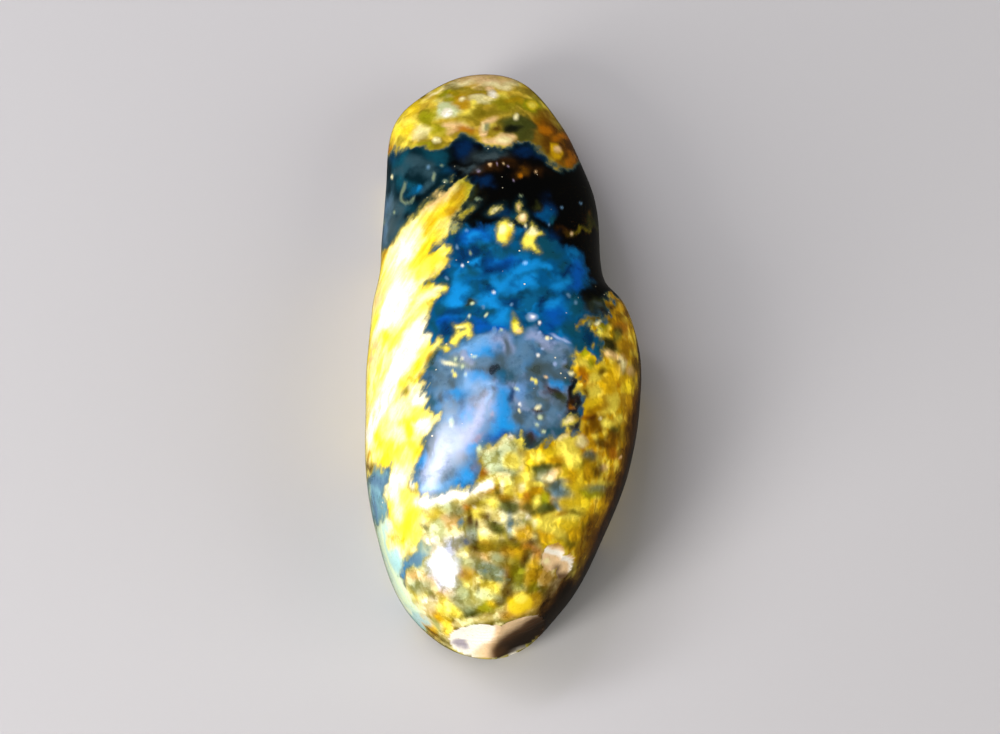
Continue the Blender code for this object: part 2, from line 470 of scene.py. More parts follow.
dabs(ground, 0.7, 0.85, [
    ("navy", -2.4, 5.7, 0.41, 0.61), ("teal", -2.7, 6.0, 0.26, 0.41),
    ("royal", -1.5, 5.8, 0.46, 0.36, 20), ("royal", -1.1, 6.1, 0.41, 0.36, 30),
    ("azure", -1.3, 5.8, 0.36, 0.20, 30), ("teal", -0.8, 5.2, 0.61, 0.31, 25),
    ("navy", -1.4, 5.0, 0.31, 0.20), ("teal", 0.5, 5.0, 0.61, 0.26), ("teal", 2.2, 5.3, 0.71, 0.41),
    ("navy", -2.3, 4.7, 0.31, 0.46), ("azure", -1.4, 4.4, 0.36, 0.15, 30),
    ("teal", -1.7, 3.9, 0.41, 0.26), ("royal", 0.1, 4.4, 0.66, 0.36, 20),
    ("navy", -0.5, 4.0, 0.82, 0.31, 25), ("navy", 0.4, 3.2, 0.36, 0.15),
    ("azure", -2.3, 2.9, 0.82, 0.46, 80), ("azure", -2.3, 2.3, 0.41, 0.26),
    ("navy", -2.5, 1.9, 0.71, 0.26, 10), ("teal", -3.1, 2.0, 0.20, 0.26),
    ("royal", -2.9, 1.3, 0.51, 0.31, 20), ("navy", -2.9, 0.9, 0.46, 0.20),
    ("teal", -3.6, 1.2, 0.20, 0.36), ("teal", -3.4, 3.6, 0.26, 0.31), ("navy", -3.1, 3.8, 0.26, 0.20),
    ("azure", -0.2, 3.1, 1.0, 0.26, 30), ("azure", 1.0, 3.9, 0.61, 0.31, 30),
    ("azure", -0.8, 2.5, 0.51, 0.31), ("azure", -0.4, 2.2, 0.61, 0.26), ("teal", -1.6, 2.2, 0.41, 0.31),
    ("moss", -1.5, 2.4, 0.26, 0.15), ("teal", -0.8, 1.7, 0.36, 0.36),
    ("azure", 1.4, 4.4, 0.46, 0.20, 20), ("azure", 1.5, 3.3, 0.41, 0.26, 60),
    ("azure", 2.0, 4.3, 0.31, 0.20), ("azure", 0.8, 3.1, 0.61, 0.26, 20),
    ("navy", 0.4, 2.2, 0.46, 0.20), ("azure", 2.9, 3.3, 0.41, 0.36), ("royal", 3.8, 4.0, 0.41, 0.46),
    ("royal", 3.7, 3.3, 0.31, 0.41), ("navy", 3.2, 4.0, 0.36, 0.20), ("teal", 3.0, 4.4, 0.26, 0.26),
    ("teal", 2.8, 5.0, 0.41, 0.26), ("royal", 2.6, 1.7, 0.66, 0.46, 70),
    ("azure", 2.6, 2.3, 0.31, 0.31), ("azure", 0.0, 1.6, 0.41, 0.41), ("teal", 3.6, 2.5, 0.41, 0.31),
    ("teal", 3.8, 2.0, 0.41, 0.41), ("soot", 4.8, 2.6, 0.71, 0.61), ("moss", 4.8, 2.3, 0.56, 0.61),
    ("umber", 5.2, 1.7, 0.36, 0.20), ("fog", 4.8, 2.2, 0.20, 0.31, 60), ("soot", 4.3, 2.9, 0.36, 0.41),
    ("navy", 1.9, 2.5, 0.26, 0.15), ("teal", 3.3, 1.1, 0.31, 0.41), ("teal", 4.2, 0.7, 0.46, 0.46),
    ("navy", 4.2, 0.7, 0.31, 0.36), ("teal", 4.9, -0.1, 0.26, 0.41), ("teal", 3.6, 0.2, 0.31, 0.36),
    ("royal", -1.1, 1.2, 0.51, 0.26, 10), ("royal", -0.2, 1.0, 0.46, 0.26),
])
print("pool covers", round(float((pool > 0).mean()), 2))

# %% [markdown]
# Below the pool's bright half lies a hazy one, where fine bubbles scatter the light. It is
# lilac-grey with a pale upper edge, a clean blue streak down its middle and brown at its right.
# Two long lilac streaks over it are painted reflections of the sheen and glint lights.

# %% The haze under the pool
haze = patch([
    (-2.5, -0.1), (-2.0, 0.2), (-1.5, 0.6), (-0.2, 0.8), (0.8, 0.9), (1.6, 1.0), (2.2, 0.6), (3.2, 0.3),
    (3.4, -0.5), (3.8, -2.5), (3.5, -4.4), (0.8, -4.6), (-1.1, -5.3), (-1.3, -7.2), (-4.3, -7.7),
    (-4.4, -5.9), (-3.8, -3.9), (-3.6, -2.5), (-3.9, -1.1), (-3.2, -0.3),
])
lay(ground, "slate", haze, 0.5, 0.85)
fleck(ground, "lilac", noise(0.8, 4, 31.0), 0.5, 0.7, haze, 0.5)
fleck(ground, "fog", noise(0.7, 4, 37.0), 0.52, 0.68, haze, 0.65)
fleck(ground, "azure", noise(1.0, 3, 41.0), 0.52, 0.75, haze, 0.35)
dabs(ground, 0.6, 0.85, [
    ("sky", -1.1, 0.2, 0.92, 0.41, 10), ("azure", -0.9, -0.1, 0.71, 0.36),
    ("sky", -2.0, 0.0, 0.41, 0.20, 30), ("slate", -1.1, -0.7, 0.41, 0.46),
    ("lilac", 0.1, 0.2, 0.46, 0.46), ("fog", 0.2, 0.0, 0.20, 0.41), ("slate", 1.0, -0.1, 0.41, 0.51),
    ("slate", 0.6, -0.8, 0.36, 0.46), ("lilac", 1.6, 0.6, 0.46, 0.31),
    ("lilac", 2.4, 0.1, 0.66, 0.31, 150), ("slate", 2.3, -0.6, 0.51, 0.46),
    ("slate", 2.8, -0.1, 0.26, 0.31), ("teal", -3.6, -0.9, 0.20, 0.36, 60),
    ("moss", -3.4, -0.4, 0.31, 0.15, 60), ("slate", -2.8, -1.1, 0.46, 0.46),
    ("sage", -2.0, -0.7, 0.46, 0.36), ("lilac", -1.8, -0.5, 0.31, 0.31),
    ("sage", -3.1, -0.1, 0.26, 0.15), ("fog", -0.3, -0.5, 0.41, 0.31, 160),
    ("soot", -0.6, -1.1, 0.41, 0.26), ("fog", -1.1, -1.2, 0.26, 0.20), ("teal", 0.1, -1.2, 0.46, 0.26),
    ("moss", 1.7, -1.0, 0.36, 0.31), ("fog", 1.3, -1.4, 0.51, 0.31), ("azure", -2.2, -2.1, 0.51, 0.31),
    ("slate", -3.0, -1.9, 0.36, 0.31), ("fog", -2.6, -1.7, 0.20, 0.26),
    ("teal", -3.4, -2.5, 0.20, 0.46), ("fog", -3.0, -2.3, 0.15, 0.15),
    ("slate", -2.8, -2.6, 0.15, 0.15), ("sky", -1.6, -1.7, 0.46, 0.31),
    ("azure", -1.1, -1.5, 0.41, 0.26), ("sky", -0.7, -1.7, 0.15, 0.31, 110),
    ("azure", -0.1, -2.4, 0.31, 0.87), ("azure", 0.0, -3.3, 0.36, 0.61),
    ("azure", 0.3, -3.7, 0.51, 0.26), ("royal", -0.2, -4.2, 0.41, 0.36),
    ("azure", -0.4, -3.8, 0.26, 0.31), ("navy", 0.3, -2.2, 0.15, 0.51),
    ("azure", -1.9, -3.3, 0.26, 0.51), ("slate", -2.4, -2.9, 0.36, 0.31),
    ("sky", -0.8, -2.2, 0.15, 0.41), ("fog", 2.1, -1.0, 0.71, 0.36, 160),
    ("azure", 2.7, -1.7, 0.31, 0.31), ("fog", 2.6, -2.4, 0.61, 0.31, 150),
    ("teal", 3.1, -1.4, 0.20, 0.31), ("umber", 2.4, -2.0, 0.41, 0.15, 150),
    ("moss", 2.8, -2.4, 0.36, 0.20, 150), ("moss", 1.8, -2.4, 0.31, 0.20),
    ("umber", 1.7, -2.9, 0.26, 0.15, 20), ("fog", 2.0, -2.7, 0.26, 0.20),
    ("slate", 1.3, -2.4, 0.46, 0.41), ("slate", 2.4, -3.2, 0.46, 0.41),
    ("slate", 1.4, -3.6, 0.51, 0.41), ("moss", 1.8, -3.3, 0.20, 0.20), ("fog", 0.8, -3.2, 0.20, 0.31),
    ("azure", 1.5, -4.2, 0.36, 0.20), ("teal", 2.8, -3.8, 0.41, 0.31),
    ("mauve", -1.1, -4.1, 0.20, 0.15), ("mauve", -1.3, -4.4, 0.26, 0.20),
    ("slate", -0.5, -3.3, 0.15, 0.15), ("mauve", -1.4, -5.6, 0.20, 0.26),
    ("sky", -3.8, -6.6, 0.26, 0.61, 80), ("sky", -2.8, -6.7, 0.51, 0.31),
    ("azure", -1.9, -6.0, 0.41, 0.46), ("azure", -1.4, -5.0, 0.31, 0.51, 60),
    ("azure", -2.2, -6.5, 0.41, 0.26), ("fog", -3.8, -4.6, 0.15, 0.51),
    ("azure", -4.0, -5.3, 0.15, 0.41), ("slate", -2.6, -4.9, 0.46, 1.1, 170),
    # The long lilac ovals at (-3.1, -5.4) and (-1.5, -3.6) are painted reflections: the sheen and the
    # glint streak.
    ("lilac", -3.1, -5.4, 1.2, 0.36, 70), ("lilac", -1.5, -3.6, 1.2, 0.31, 65),
    ("slate", -2.8, -4.0, 0.20, 0.41, 60), ("umber", 1.3, -4.4, 0.41, 0.31),
    ("moss", 1.0, -4.7, 0.26, 0.31), ("moss", 1.8, -4.6, 0.31, 0.20), ("teal", 2.3, -4.2, 0.26, 0.26),
    ("sage", -1.0, -5.0, 0.15, 0.26), ("fog", 2.0, -4.0, 0.15, 0.15),
])
dabs(ground, 0.3, 0.9, [
    ("umber", 3.5, -1.2, 0.26, 0.51), ("soot", 3.4, -2.1, 0.26, 0.61), ("umber", 3.5, -2.7, 0.26, 0.26),
    ("soot", 3.6, -3.4, 0.26, 0.46), ("umber", 3.7, -3.8, 0.26, 0.36), ("moss", 3.3, -0.6, 0.20, 0.26),
    ("soot", 4.0, -2.1, 0.15, 0.20), ("umber", 3.4, -2.5, 0.26, 0.92), ("honey", 3.4, -2.8, 0.13, 0.13),
    ("umber", 3.8, -1.5, 0.26, 0.20), ("soot", 3.4, -1.9, 0.15, 0.41), ("umber", 3.3, -4.0, 0.26, 0.26),
])
print("haze covers", round(float(((haze > 0) & (pool > 0)).mean()), 2))

# %% [markdown]
# A nearly black belt crosses the stone under its far cap and runs down the right flank. It is
# the clearest resin of all: nothing in it sends light back, so the dark behind shows. A brown
# arc of fine debris and a few pale threads hang in it. Down the right flank its near black is
# partly painted shade, because that side turns away from the light.

# %% The dark belt
belt = patch([
    (-6.9, 10.2), (-6.2, 10.5), (-5.4, 10.6), (-4.5, 10.5), (-3.7, 10.5), (-3.0, 10.6), (-2.6, 11.1),
    (-2.0, 11.2), (-1.5, 10.9), (-0.9, 10.5), (-0.1, 10.4), (0.5, 10.5), (0.8, 10.8), (1.4, 10.8),
    (2.0, 10.5), (2.2, 9.9), (2.8, 9.5), (3.4, 9.5), (4.3, 9.9), (5.6, 9.5), (7.0, 2.6), (5.5, 2.9),
    (4.9, 2.7), (4.5, 3.0), (4.4, 4.1), (3.8, 5.2), (2.1, 5.8), (-0.1, 6.3), (-1.7, 6.3), (-2.4, 6.5),
    (-3.7, 6.4), (-5.5, 5.7), (-6.8, 4.7),
])
# Near black over the belt: clear resin, and down the right flank partly painted shade.
lay(ground, "soot", belt, 0.5, 1.0)
dabs(ground, 0.6, 0.9, [
    ("fog", -5.6, 6.1, 0.51, 1.5, 70), ("fog", -6.1, 7.1, 0.31, 1.4), ("teal", -5.3, 7.2, 0.82, 0.46),
    ("navy", -5.7, 10.2, 0.51, 0.31), ("teal", -5.2, 9.9, 0.51, 0.56), ("soot", -4.3, 9.9, 0.41, 0.46),
    ("teal", -3.5, 10.1, 0.61, 0.36), ("navy", -2.1, 10.5, 0.56, 0.46), ("fog", -0.7, 10.0, 1.0, 0.26),
    ("fog", -4.6, 9.7, 0.46, 0.31), ("fog", -5.4, 9.3, 0.36, 0.26), ("navy", 1.3, 10.2, 0.66, 0.31),
    ("navy", -2.9, 9.2, 0.46, 0.31), ("blue", -4.6, 8.3, 0.31, 0.46, 80),
    ("azure", -4.5, 8.4, 0.15, 0.20), ("teal", -5.3, 8.8, 0.46, 0.41), ("fog", -3.9, 9.4, 0.36, 0.36),
    ("fog", -3.9, 8.5, 0.46, 0.26, 60), ("teal", -3.3, 9.7, 0.31, 0.20),
    ("umber", -1.4, 9.3, 0.46, 0.20), ("fog", -1.7, 9.5, 0.61, 0.20), ("umber", -0.7, 9.5, 0.61, 0.20),
    ("umber", 0.3, 9.7, 0.46, 0.26), ("umber", 1.1, 9.3, 0.46, 0.36), ("umber", 2.0, 9.2, 0.36, 0.31),
    ("navy", -1.0, 8.7, 0.61, 0.36), ("navy", -0.1, 7.0, 0.51, 0.31), ("teal", 0.5, 6.9, 0.31, 0.26),
    ("navy", 2.2, 7.1, 0.46, 0.71), ("blue", 2.1, 6.8, 0.26, 0.46), ("umber", 3.2, 6.1, 0.46, 0.15),
    ("olive", 4.1, 6.2, 0.61, 0.15, 10), ("moss", 4.5, 6.6, 0.36, 0.41), ("navy", 2.5, 5.8, 0.46, 0.20),
    ("teal", 2.5, 6.5, 0.20, 0.31), ("moss", -1.5, 7.9, 0.46, 0.26, 40),
    ("moss", -1.7, 7.4, 0.36, 0.20, 30), ("moss", 2.8, 10.5, 0.41, 0.41),
    ("moss", 1.7, 7.4, 0.20, 0.20),
])
lay(ground, "teal", patch([
    (-6.9, 10.3), (-4.9, 10.5), (-3.3, 10.3), (-2.6, 9.3), (-2.9, 8.5), (-4.3, 7.6), (-5.4, 6.0),
    (-6.8, 4.6),
]), 0.8, 0.45)
lay(ground, "fog", patch([
    (-6.9, 7.7), (-5.8, 7.9), (-4.9, 7.3), (-5.5, 6.1), (-6.1, 4.6), (-7.0, 4.3),
]), 0.8, 0.7)
lay(ground, "slate", patch([(-6.9, 8.8), (-6.3, 9.1), (-5.9, 7.0), (-6.1, 5.7), (-6.8, 4.3)]), 0.6, 0.7)
lay(ground, "amber", blot((1.0, 9.2), 0.15, 0.26), 0.3, 0.6)
print("belt covers", round(float((belt > 0).mean()), 2))

# %% [markdown]
# The clouds are one layer with two parts: how far inside a cloud each point is, and what colour
# the cloud has there. Everything outside the pool and the belt is cloud. A long plume reaches up
# the left side into the belt, and islands float in the blue. A few wells go the other way: they
# are places inside the clouds where grey-blue resin shows.

# %% Where the clouds are
plume = patch([
    (-2.6, 8.7), (-2.1, 8.8), (-1.7, 8.4), (-1.6, 8.1), (-2.0, 7.7), (-2.3, 7.1), (-2.7, 6.5),
    (-2.9, 6.0), (-3.1, 5.5), (-3.6, 5.1), (-2.9, 5.3), (-2.7, 4.9), (-2.7, 4.5), (-3.2, 4.0),
    (-4.2, 3.0), (-4.1, 1.5), (-6.2, 1.0), (-6.9, 3.2), (-6.5, 4.1), (-6.0, 4.8), (-5.7, 5.5),
    (-5.3, 6.3), (-4.4, 7.0), (-4.1, 7.4), (-3.5, 7.9), (-3.1, 8.2),
], on=feathery)
islets = [
    ((0.1, 6.0), 0.61, 0.41, 85), ((-3.2, 0.3), 0.15, 0.26), ((-2.8, 0.0), 0.20, 0.15),
    ((-0.4, 7.2), 0.26, 0.13, 30), ((-2.5, 6.2), 0.26, 0.15, 40), ((1.0, 6.8), 0.31, 0.31),
    ((0.8, 7.3), 0.15, 0.20), ((-1.8, 7.1), 0.36, 0.13, 40), ((3.3, -3.5), 0.20, 0.36, 110),
]
wisps = [
    ([(-2.3, 1.1), (-1.9, 1.2), (-1.7, 1.0), (-1.7, 0.7)], 0.16),
    ([(-1.8, 0.9), (-2.2, 0.7), (-2.4, 0.3)], 0.2),
    ([(-4.0, 4.2), (-3.4, 4.7), (-2.8, 5.1)], 0.2),
    ([(-4.2, 2.5), (-3.5, 3.0), (-3.0, 3.1)], 0.2),
]
islands = np.max([
    patch([
        (1.4, 6.5), (1.7, 6.1), (2.1, 5.8), (1.8, 5.7), (1.7, 5.4), (2.0, 4.9), (1.5, 5.1), (1.1, 5.1),
        (0.9, 5.5), (1.2, 5.9),
    ], fine),
    patch([(0.5, 1.8), (0.7, 1.5), (0.9, 1.1), (1.0, 0.8), (0.7, 0.7), (0.4, 0.9), (0.4, 1.3)], fine),
    *[blot(*islet, on=fine) for islet in islets],
    *[strand(*wisp, fine) for wisp in wisps],
], axis=0)
cloud = np.maximum(np.maximum(-np.maximum(pool, belt), plume), islands)
pools = [
    ((0.4, -8.3), 0.20, 0.51, 100), ((-0.9, -10.6), 0.36, 0.20), ((-0.2, -11.0), 0.15, 0.82, 75),
    ((-1.8, -9.2), 0.26, 0.26), ((-2.0, -8.3), 0.20, 0.26),
]
wells = np.max([
    patch([
        (-5.4, -5.3), (-5.6, -5.8), (-5.6, -6.7), (-5.7, -7.4), (-5.7, -8.0), (-6.1, -8.7),
        (-7.2, -8.8), (-7.2, -6.8), (-6.1, -5.8),
    ]),
    patch([
        (-3.2, -9.1), (-3.2, -9.6), (-3.8, -10.3), (-4.6, -10.8), (-4.9, -11.4), (-5.2, -11.0),
        (-4.8, -10.1), (-4.1, -9.5),
    ]),
    *[blot(*small_pool, on=fine) for small_pool in pools],
], axis=0)
cloud = np.minimum(cloud, 0.1 - wells)
dabs(ground, 0.3, 0.95, [
    ("ice", -6.0, -6.9, 1.0, 2.2), ("slate", -6.2, -6.5, 0.31, 0.71, 70),
    ("slate", -6.3, -7.7, 0.20, 0.61), ("mint", -6.7, -7.5, 0.15, 0.71),
    ("slate", -5.7, -5.9, 0.26, 0.46, 60), ("ice", -4.1, -9.9, 1.1, 0.82),
    ("slate", -4.3, -10.1, 0.61, 0.26, 35), ("azure", -4.9, -10.6, 0.20, 0.41),
    ("mint", -3.4, -9.4, 0.41, 0.31), ("fog", 0.2, -7.9, 0.46, 0.71), ("slate", 0.4, -8.5, 0.26, 0.41),
    ("slate", -0.9, -10.6, 0.61, 0.41), ("sage", -0.2, -10.9, 0.41, 1.1, 75),
    ("mauve", -1.8, -9.2, 0.51, 0.51), ("slate", -2.0, -8.3, 0.41, 0.41),
])
print("cloud covers", round(float((cloud > 0).mean()), 2))

# %% [markdown]
# The cap at the far end is a cloud of many small patches: lemon at its left, cream along its
# top, olive and mustard in the middle, and orange where it thins out at the right. The whole
# layer starts lemon, so lemon itself is laid only where another colour has gone before.

# %% The far cap
tint = np.tile(linear("lemon"), (len(points), 1))
cap = patch([
    (-7.5, 10.6), (-2.2, 10.4), (0.9, 10.3), (3.0, 8.9), (5.1, 9.1), (6.1, 15.4), (-1.2, 17.2),
    (-7.0, 14.4),
])
lay(tint, "mustard", cap, 1.0, 0.65)
fleck(tint, "lemon", noise(0.7, 4, 51.0), 0.5, 0.7, cap, 0.5)
fleck(tint, "olive", noise(0.6, 4, 53.0), 0.48, 0.66, cap, 0.65)
dabs(tint, 0.5, 0.85, [
    ("peach", -0.8, 14.6, 1.7, 0.36, 3), ("cream", -0.1, 14.3, 0.82, 0.26),
    ("cream", -2.3, 14.2, 0.71, 0.20, 20), ("olive", -2.6, 13.9, 0.41, 0.31),
    ("leaf", -2.9, 13.6, 0.46, 0.20), ("cream", -3.6, 13.9, 0.46, 0.15, 30),
    ("lemon", -4.9, 11.8, 0.82, 0.51), ("yellow", -5.2, 11.6, 0.56, 0.36),
    ("yellow", -4.8, 12.9, 0.51, 0.36, 60), ("cream", -4.4, 11.5, 0.41, 0.26),
    ("leaf", -3.9, 12.3, 0.41, 0.51), ("mustard", -2.3, 13.1, 0.71, 0.51),
    ("mint", -3.0, 12.8, 0.61, 0.56), ("cream", -1.1, 13.3, 0.46, 0.26),
    ("lemon", -2.0, 12.6, 0.46, 0.31), ("leaf", 0.1, 13.1, 1.1, 0.36), ("gold", 0.6, 13.2, 0.51, 0.20),
    ("olive", -0.7, 12.5, 1.0, 0.26, 10), ("peach", -2.4, 11.7, 0.71, 0.20),
    ("honey", -1.9, 11.5, 0.46, 0.20), ("leaf", -3.5, 11.5, 0.46, 0.31),
    ("leaf", -4.1, 10.7, 0.71, 0.15), ("olive", -3.5, 10.9, 0.46, 0.20),
    ("honey", -6.0, 10.8, 0.26, 0.26), ("moss", 0.5, 11.9, 0.61, 0.46), ("moss", 1.2, 11.6, 0.46, 0.61),
    ("umber", 1.6, 10.9, 0.41, 0.46), ("honey", 2.2, 11.8, 0.61, 0.46, 150),
    ("gold", 2.0, 12.1, 0.31, 0.20), ("amber", 3.0, 10.7, 0.61, 0.82, 110),
    ("gold", 2.7, 10.5, 0.36, 0.46), ("umber", 3.7, 10.6, 0.26, 1.0, 110),
    ("umber", 2.2, 10.7, 0.26, 0.31), ("olive", 2.0, 10.0, 0.31, 0.26), ("honey", 3.1, 9.7, 0.46, 0.20),
    ("leaf", 1.7, 13.1, 0.56, 0.46),
])
lay(tint, "amber", patch([
    (1.9, 13.0), (2.8, 12.2), (3.8, 10.8), (4.5, 9.4), (3.3, 9.2), (2.2, 10.4), (1.4, 11.7),
]), 0.8, 0.85)
lay(tint, "umber", patch([
    (2.8, 12.4), (3.4, 11.8), (4.1, 10.5), (4.7, 9.4), (3.7, 9.3), (3.1, 10.8),
]), 0.8, 0.85)
dabs(tint, 0.6, 0.6, [
    ("olive", 0.4, 13.0, 1.0, 0.41), ("moss", 0.7, 11.7, 0.82, 0.61), ("soot", 1.0, 11.9, 0.46, 0.41),
    ("umber", 2.4, 11.5, 0.77, 0.51, 120), ("olive", -2.1, 12.1, 0.71, 0.31),
    ("umber", 0.9, 10.7, 0.61, 0.26), ("olive", -3.0, 10.5, 0.82, 0.26),
])
dabs(tint, 0.3, 0.85, [
    ("honey", 2.1, 11.7, 0.46, 0.31, 150), ("gold", 2.8, 10.5, 0.36, 0.41),
    ("honey", 3.1, 11.4, 0.26, 0.46, 110), ("leaf", 1.6, 13.1, 0.46, 0.46),
    ("honey", 3.6, 10.0, 0.20, 0.31),
])
dabs(tint, 0.2, 0.9, [
    ("peach", -0.7, 12.0, 0.46, 0.20, 30), ("peach", -1.0, 11.5, 0.26, 0.36),
    ("sage", -0.8, 11.7, 0.26, 0.15, 40), ("peach", -0.7, 10.9, 0.36, 0.20),
    ("peach", 0.1, 11.0, 0.66, 0.36, 10), ("cream", 0.1, 11.0, 0.41, 0.20),
    ("moss", 0.9, 11.9, 0.71, 0.41), ("soot", 0.5, 11.6, 0.51, 0.20, 10),
    ("umber", -0.3, 11.6, 0.20, 0.15), ("cream", -1.0, 11.7, 0.10, 0.20),
    # The white spot at (-3.0, 12.6) and the mint round it are a painted glint, from a small crack
    # inside.
    ("moss", 1.3, 11.2, 0.41, 0.41), ("mint", -3.2, 12.9, 0.36, 0.36),
    ("white", -3.0, 12.6, 0.26, 0.28), ("yellow", 1.6, 13.1, 0.31, 0.31),
    ("lemon", 1.6, 13.1, 0.20, 0.20), ("white", -0.5, 13.7, 0.26, 0.15, 150),
    ("peach", -0.7, 14.0, 0.20, 0.15), ("cream", -0.8, 13.5, 0.31, 0.10, 160),
    ("peach", 2.9, 10.5, 0.15, 0.20, 110), ("cream", -3.6, 11.0, 0.13, 0.13),
    ("cream", -3.4, 11.0, 0.10, 0.10), ("cream", 0.7, 12.3, 0.13, 0.15),
    ("cream", -2.1, 13.4, 0.15, 0.10), ("peach", -3.0, 11.8, 0.20, 0.10),
    ("lemon", -1.5, 13.1, 0.15, 0.15),
], fine)
print("cap covers", round(float((cap > 0).mean()), 2))

# %% [markdown]
# The plume and the left side are the milkiest part, cream to white, combed into long fibres by
# the flow. Lemon shows between them, most of all near the blue. The islands get theirs here too.

# %% The left plume
left = patch([
    (-2.6, 8.7), (-2.1, 8.9), (-1.4, 8.1), (-2.4, 6.0), (-2.4, 4.8), (-3.9, 2.5), (-3.1, 0.4),
    (-3.9, -1.2), (-2.8, -3.3), (-3.9, -4.4), (-4.2, -6.6), (-3.8, -7.6), (-4.0, -9.4), (-5.3, -11.1),
    (-7.7, -7.6), (-7.9, 3.7), (-6.1, 5.2),
], on=sheet)
fleck(tint, "cream", noise(0.4, 3, 61.0, combed(60, 5)), 0.4, 0.62, left, 0.6)
fleck(tint, "yellow", noise(0.6, 3, 63.0, combed(PLUME_FLOW, 4)), 0.54, 0.7, left, 0.45)
dabs(tint, 0.6, 0.9, [
    ("leaf", -2.1, 8.3, 0.61, 0.51, 50), ("mustard", -2.6, 7.7, 0.71, 0.36, 50),
    ("peach", -3.4, 7.8, 1.0, 0.26, 58), ("olive", -1.9, 8.6, 0.26, 0.20, 50),
    ("leaf", -2.9, 7.1, 0.51, 0.20, 50), ("yellow", -3.2, 6.9, 0.92, 0.41, 50),
    ("gold", -3.7, 6.4, 0.61, 0.31, 40), ("mustard", -2.6, 7.1, 0.46, 0.20, 50),
    ("yellow", -3.8, 5.3, 1.1, 0.46, 62), ("cream", -5.0, 5.4, 1.3, 0.56, 66),
    ("white", -5.1, 4.9, 0.82, 0.31, 66), ("yellow", -3.3, 4.6, 0.66, 0.36, 50),
    ("lemon", -4.2, 3.9, 0.82, 0.31, 50), ("cream", -5.5, 4.0, 0.92, 0.31, 60),
    ("mustard", -6.0, 5.2, 0.82, 0.15, 64), ("white", -5.2, 2.5, 1.3, 0.66, 72),
    ("white", -5.9, 1.6, 0.82, 0.36, 70), ("cream", -3.8, 2.7, 0.51, 0.26, 30),
    ("lemon", -4.1, 1.6, 0.71, 0.20, 75), ("peach", -6.4, 2.6, 0.61, 0.15, 80),
    ("yellow", -5.8, 0.7, 0.51, 0.31, 75), ("white", -4.5, 0.4, 1.3, 0.46, 62),
    ("white", -5.4, -1.1, 1.3, 0.41, 60), ("lemon", -3.6, 0.1, 0.41, 0.20, 60),
    ("yellow", -4.2, -0.9, 0.41, 0.26, 60), ("peach", -6.4, 0.0, 0.82, 0.15, 75),
    ("yellow", -4.9, -1.9, 0.51, 0.26, 45), ("gold", -4.5, -1.4, 0.26, 0.20),
    ("white", -4.1, -2.3, 0.51, 0.41, 60), ("white", -5.9, -2.7, 1.0, 0.26, 65),
    ("peach", -6.6, -3.1, 0.51, 0.15, 80), ("lemon", -3.7, -3.1, 0.71, 0.26),
    ("cream", -5.2, -3.2, 0.92, 0.46, 60), ("yellow", -4.6, -4.0, 0.82, 0.31, 45),
    ("white", -3.7, -3.8, 0.41, 0.15), ("white", -6.6, -4.0, 0.82, 0.20, 75),
    ("yellow", -6.0, -4.6, 0.61, 0.31, 40), ("cream", -5.2, -4.3, 0.46, 0.36),
    ("yellow", -4.5, -4.7, 0.46, 0.46), ("yellow", -5.8, -5.3, 0.61, 0.26, 50),
    ("lemon", -4.8, -5.6, 0.61, 0.31), ("umber", -6.6, -5.9, 0.20, 0.46, 70),
    ("mustard", -6.7, -5.3, 0.15, 0.41), ("white", -5.2, -6.7, 0.41, 0.82),
    ("cream", -4.4, -6.0, 0.31, 0.31), ("olive", -4.4, -6.7, 0.31, 0.31),
    ("lemon", -4.6, -7.3, 0.51, 0.46), ("yellow", -4.7, -8.4, 0.87, 0.82),
    ("lemon", -5.3, -7.7, 0.46, 0.61), ("cream", -5.1, -7.6, 0.26, 0.71),
    ("gold", -5.7, -7.9, 0.15, 0.46), ("gold", -5.2, -9.2, 0.46, 0.20),
    ("mint", -5.9, -9.3, 0.41, 0.61), ("mint", -5.7, -10.2, 0.46, 0.71, 100),
    ("mint", -5.2, -11.0, 0.36, 0.61, 110), ("lemon", -5.7, -11.1, 0.15, 0.61, 110),
    ("white", -3.8, -7.4, 0.41, 0.26), ("cream", -6.1, -8.5, 0.15, 0.46),
    ("sage", -5.9, -9.9, 0.31, 0.46),
])
dabs(tint, 0.2, 0.9, [
    ("olive", -3.5, 5.1, 0.36, 0.13, 45), ("olive", -3.7, 3.4, 0.31, 0.13, 50),
    ("olive", -4.8, -2.1, 0.36, 0.13, 50), ("cream", -3.3, 3.1, 0.26, 0.10, 40),
    ("white", -4.4, -6.5, 0.13, 0.18), ("white", -5.8, -6.3, 0.08, 0.31),
    ("mustard", -3.6, -0.4, 0.31, 0.13, 60), ("mustard", -4.0, -1.3, 0.20, 0.13, 60),
    ("gold", 0.4, 5.7, 0.15, 0.31), ("cream", 0.0, 6.1, 0.20, 0.20), ("mustard", 0.1, 5.3, 0.31, 0.15),
    ("cream", 1.5, 6.0, 0.31, 0.26), ("leaf", 0.5, 1.6, 0.20, 0.26), ("peach", 0.8, 0.9, 0.20, 0.15),
    ("cream", -2.2, 1.1, 0.20, 0.08, 20), ("peach", 1.0, 6.8, 0.31, 0.31),
    ("cream", 1.0, 6.9, 0.15, 0.15), ("peach", 0.8, 7.3, 0.15, 0.20),
    ("cream", -0.4, 7.2, 0.26, 0.13, 30), ("olive", -1.8, 7.1, 0.36, 0.13, 40),
    ("sage", -2.5, 6.2, 0.26, 0.15), ("cream", 3.3, -3.4, 0.15, 0.26, 110),
], fine)
print("left side covers", round(float((left > 0).mean()), 2))
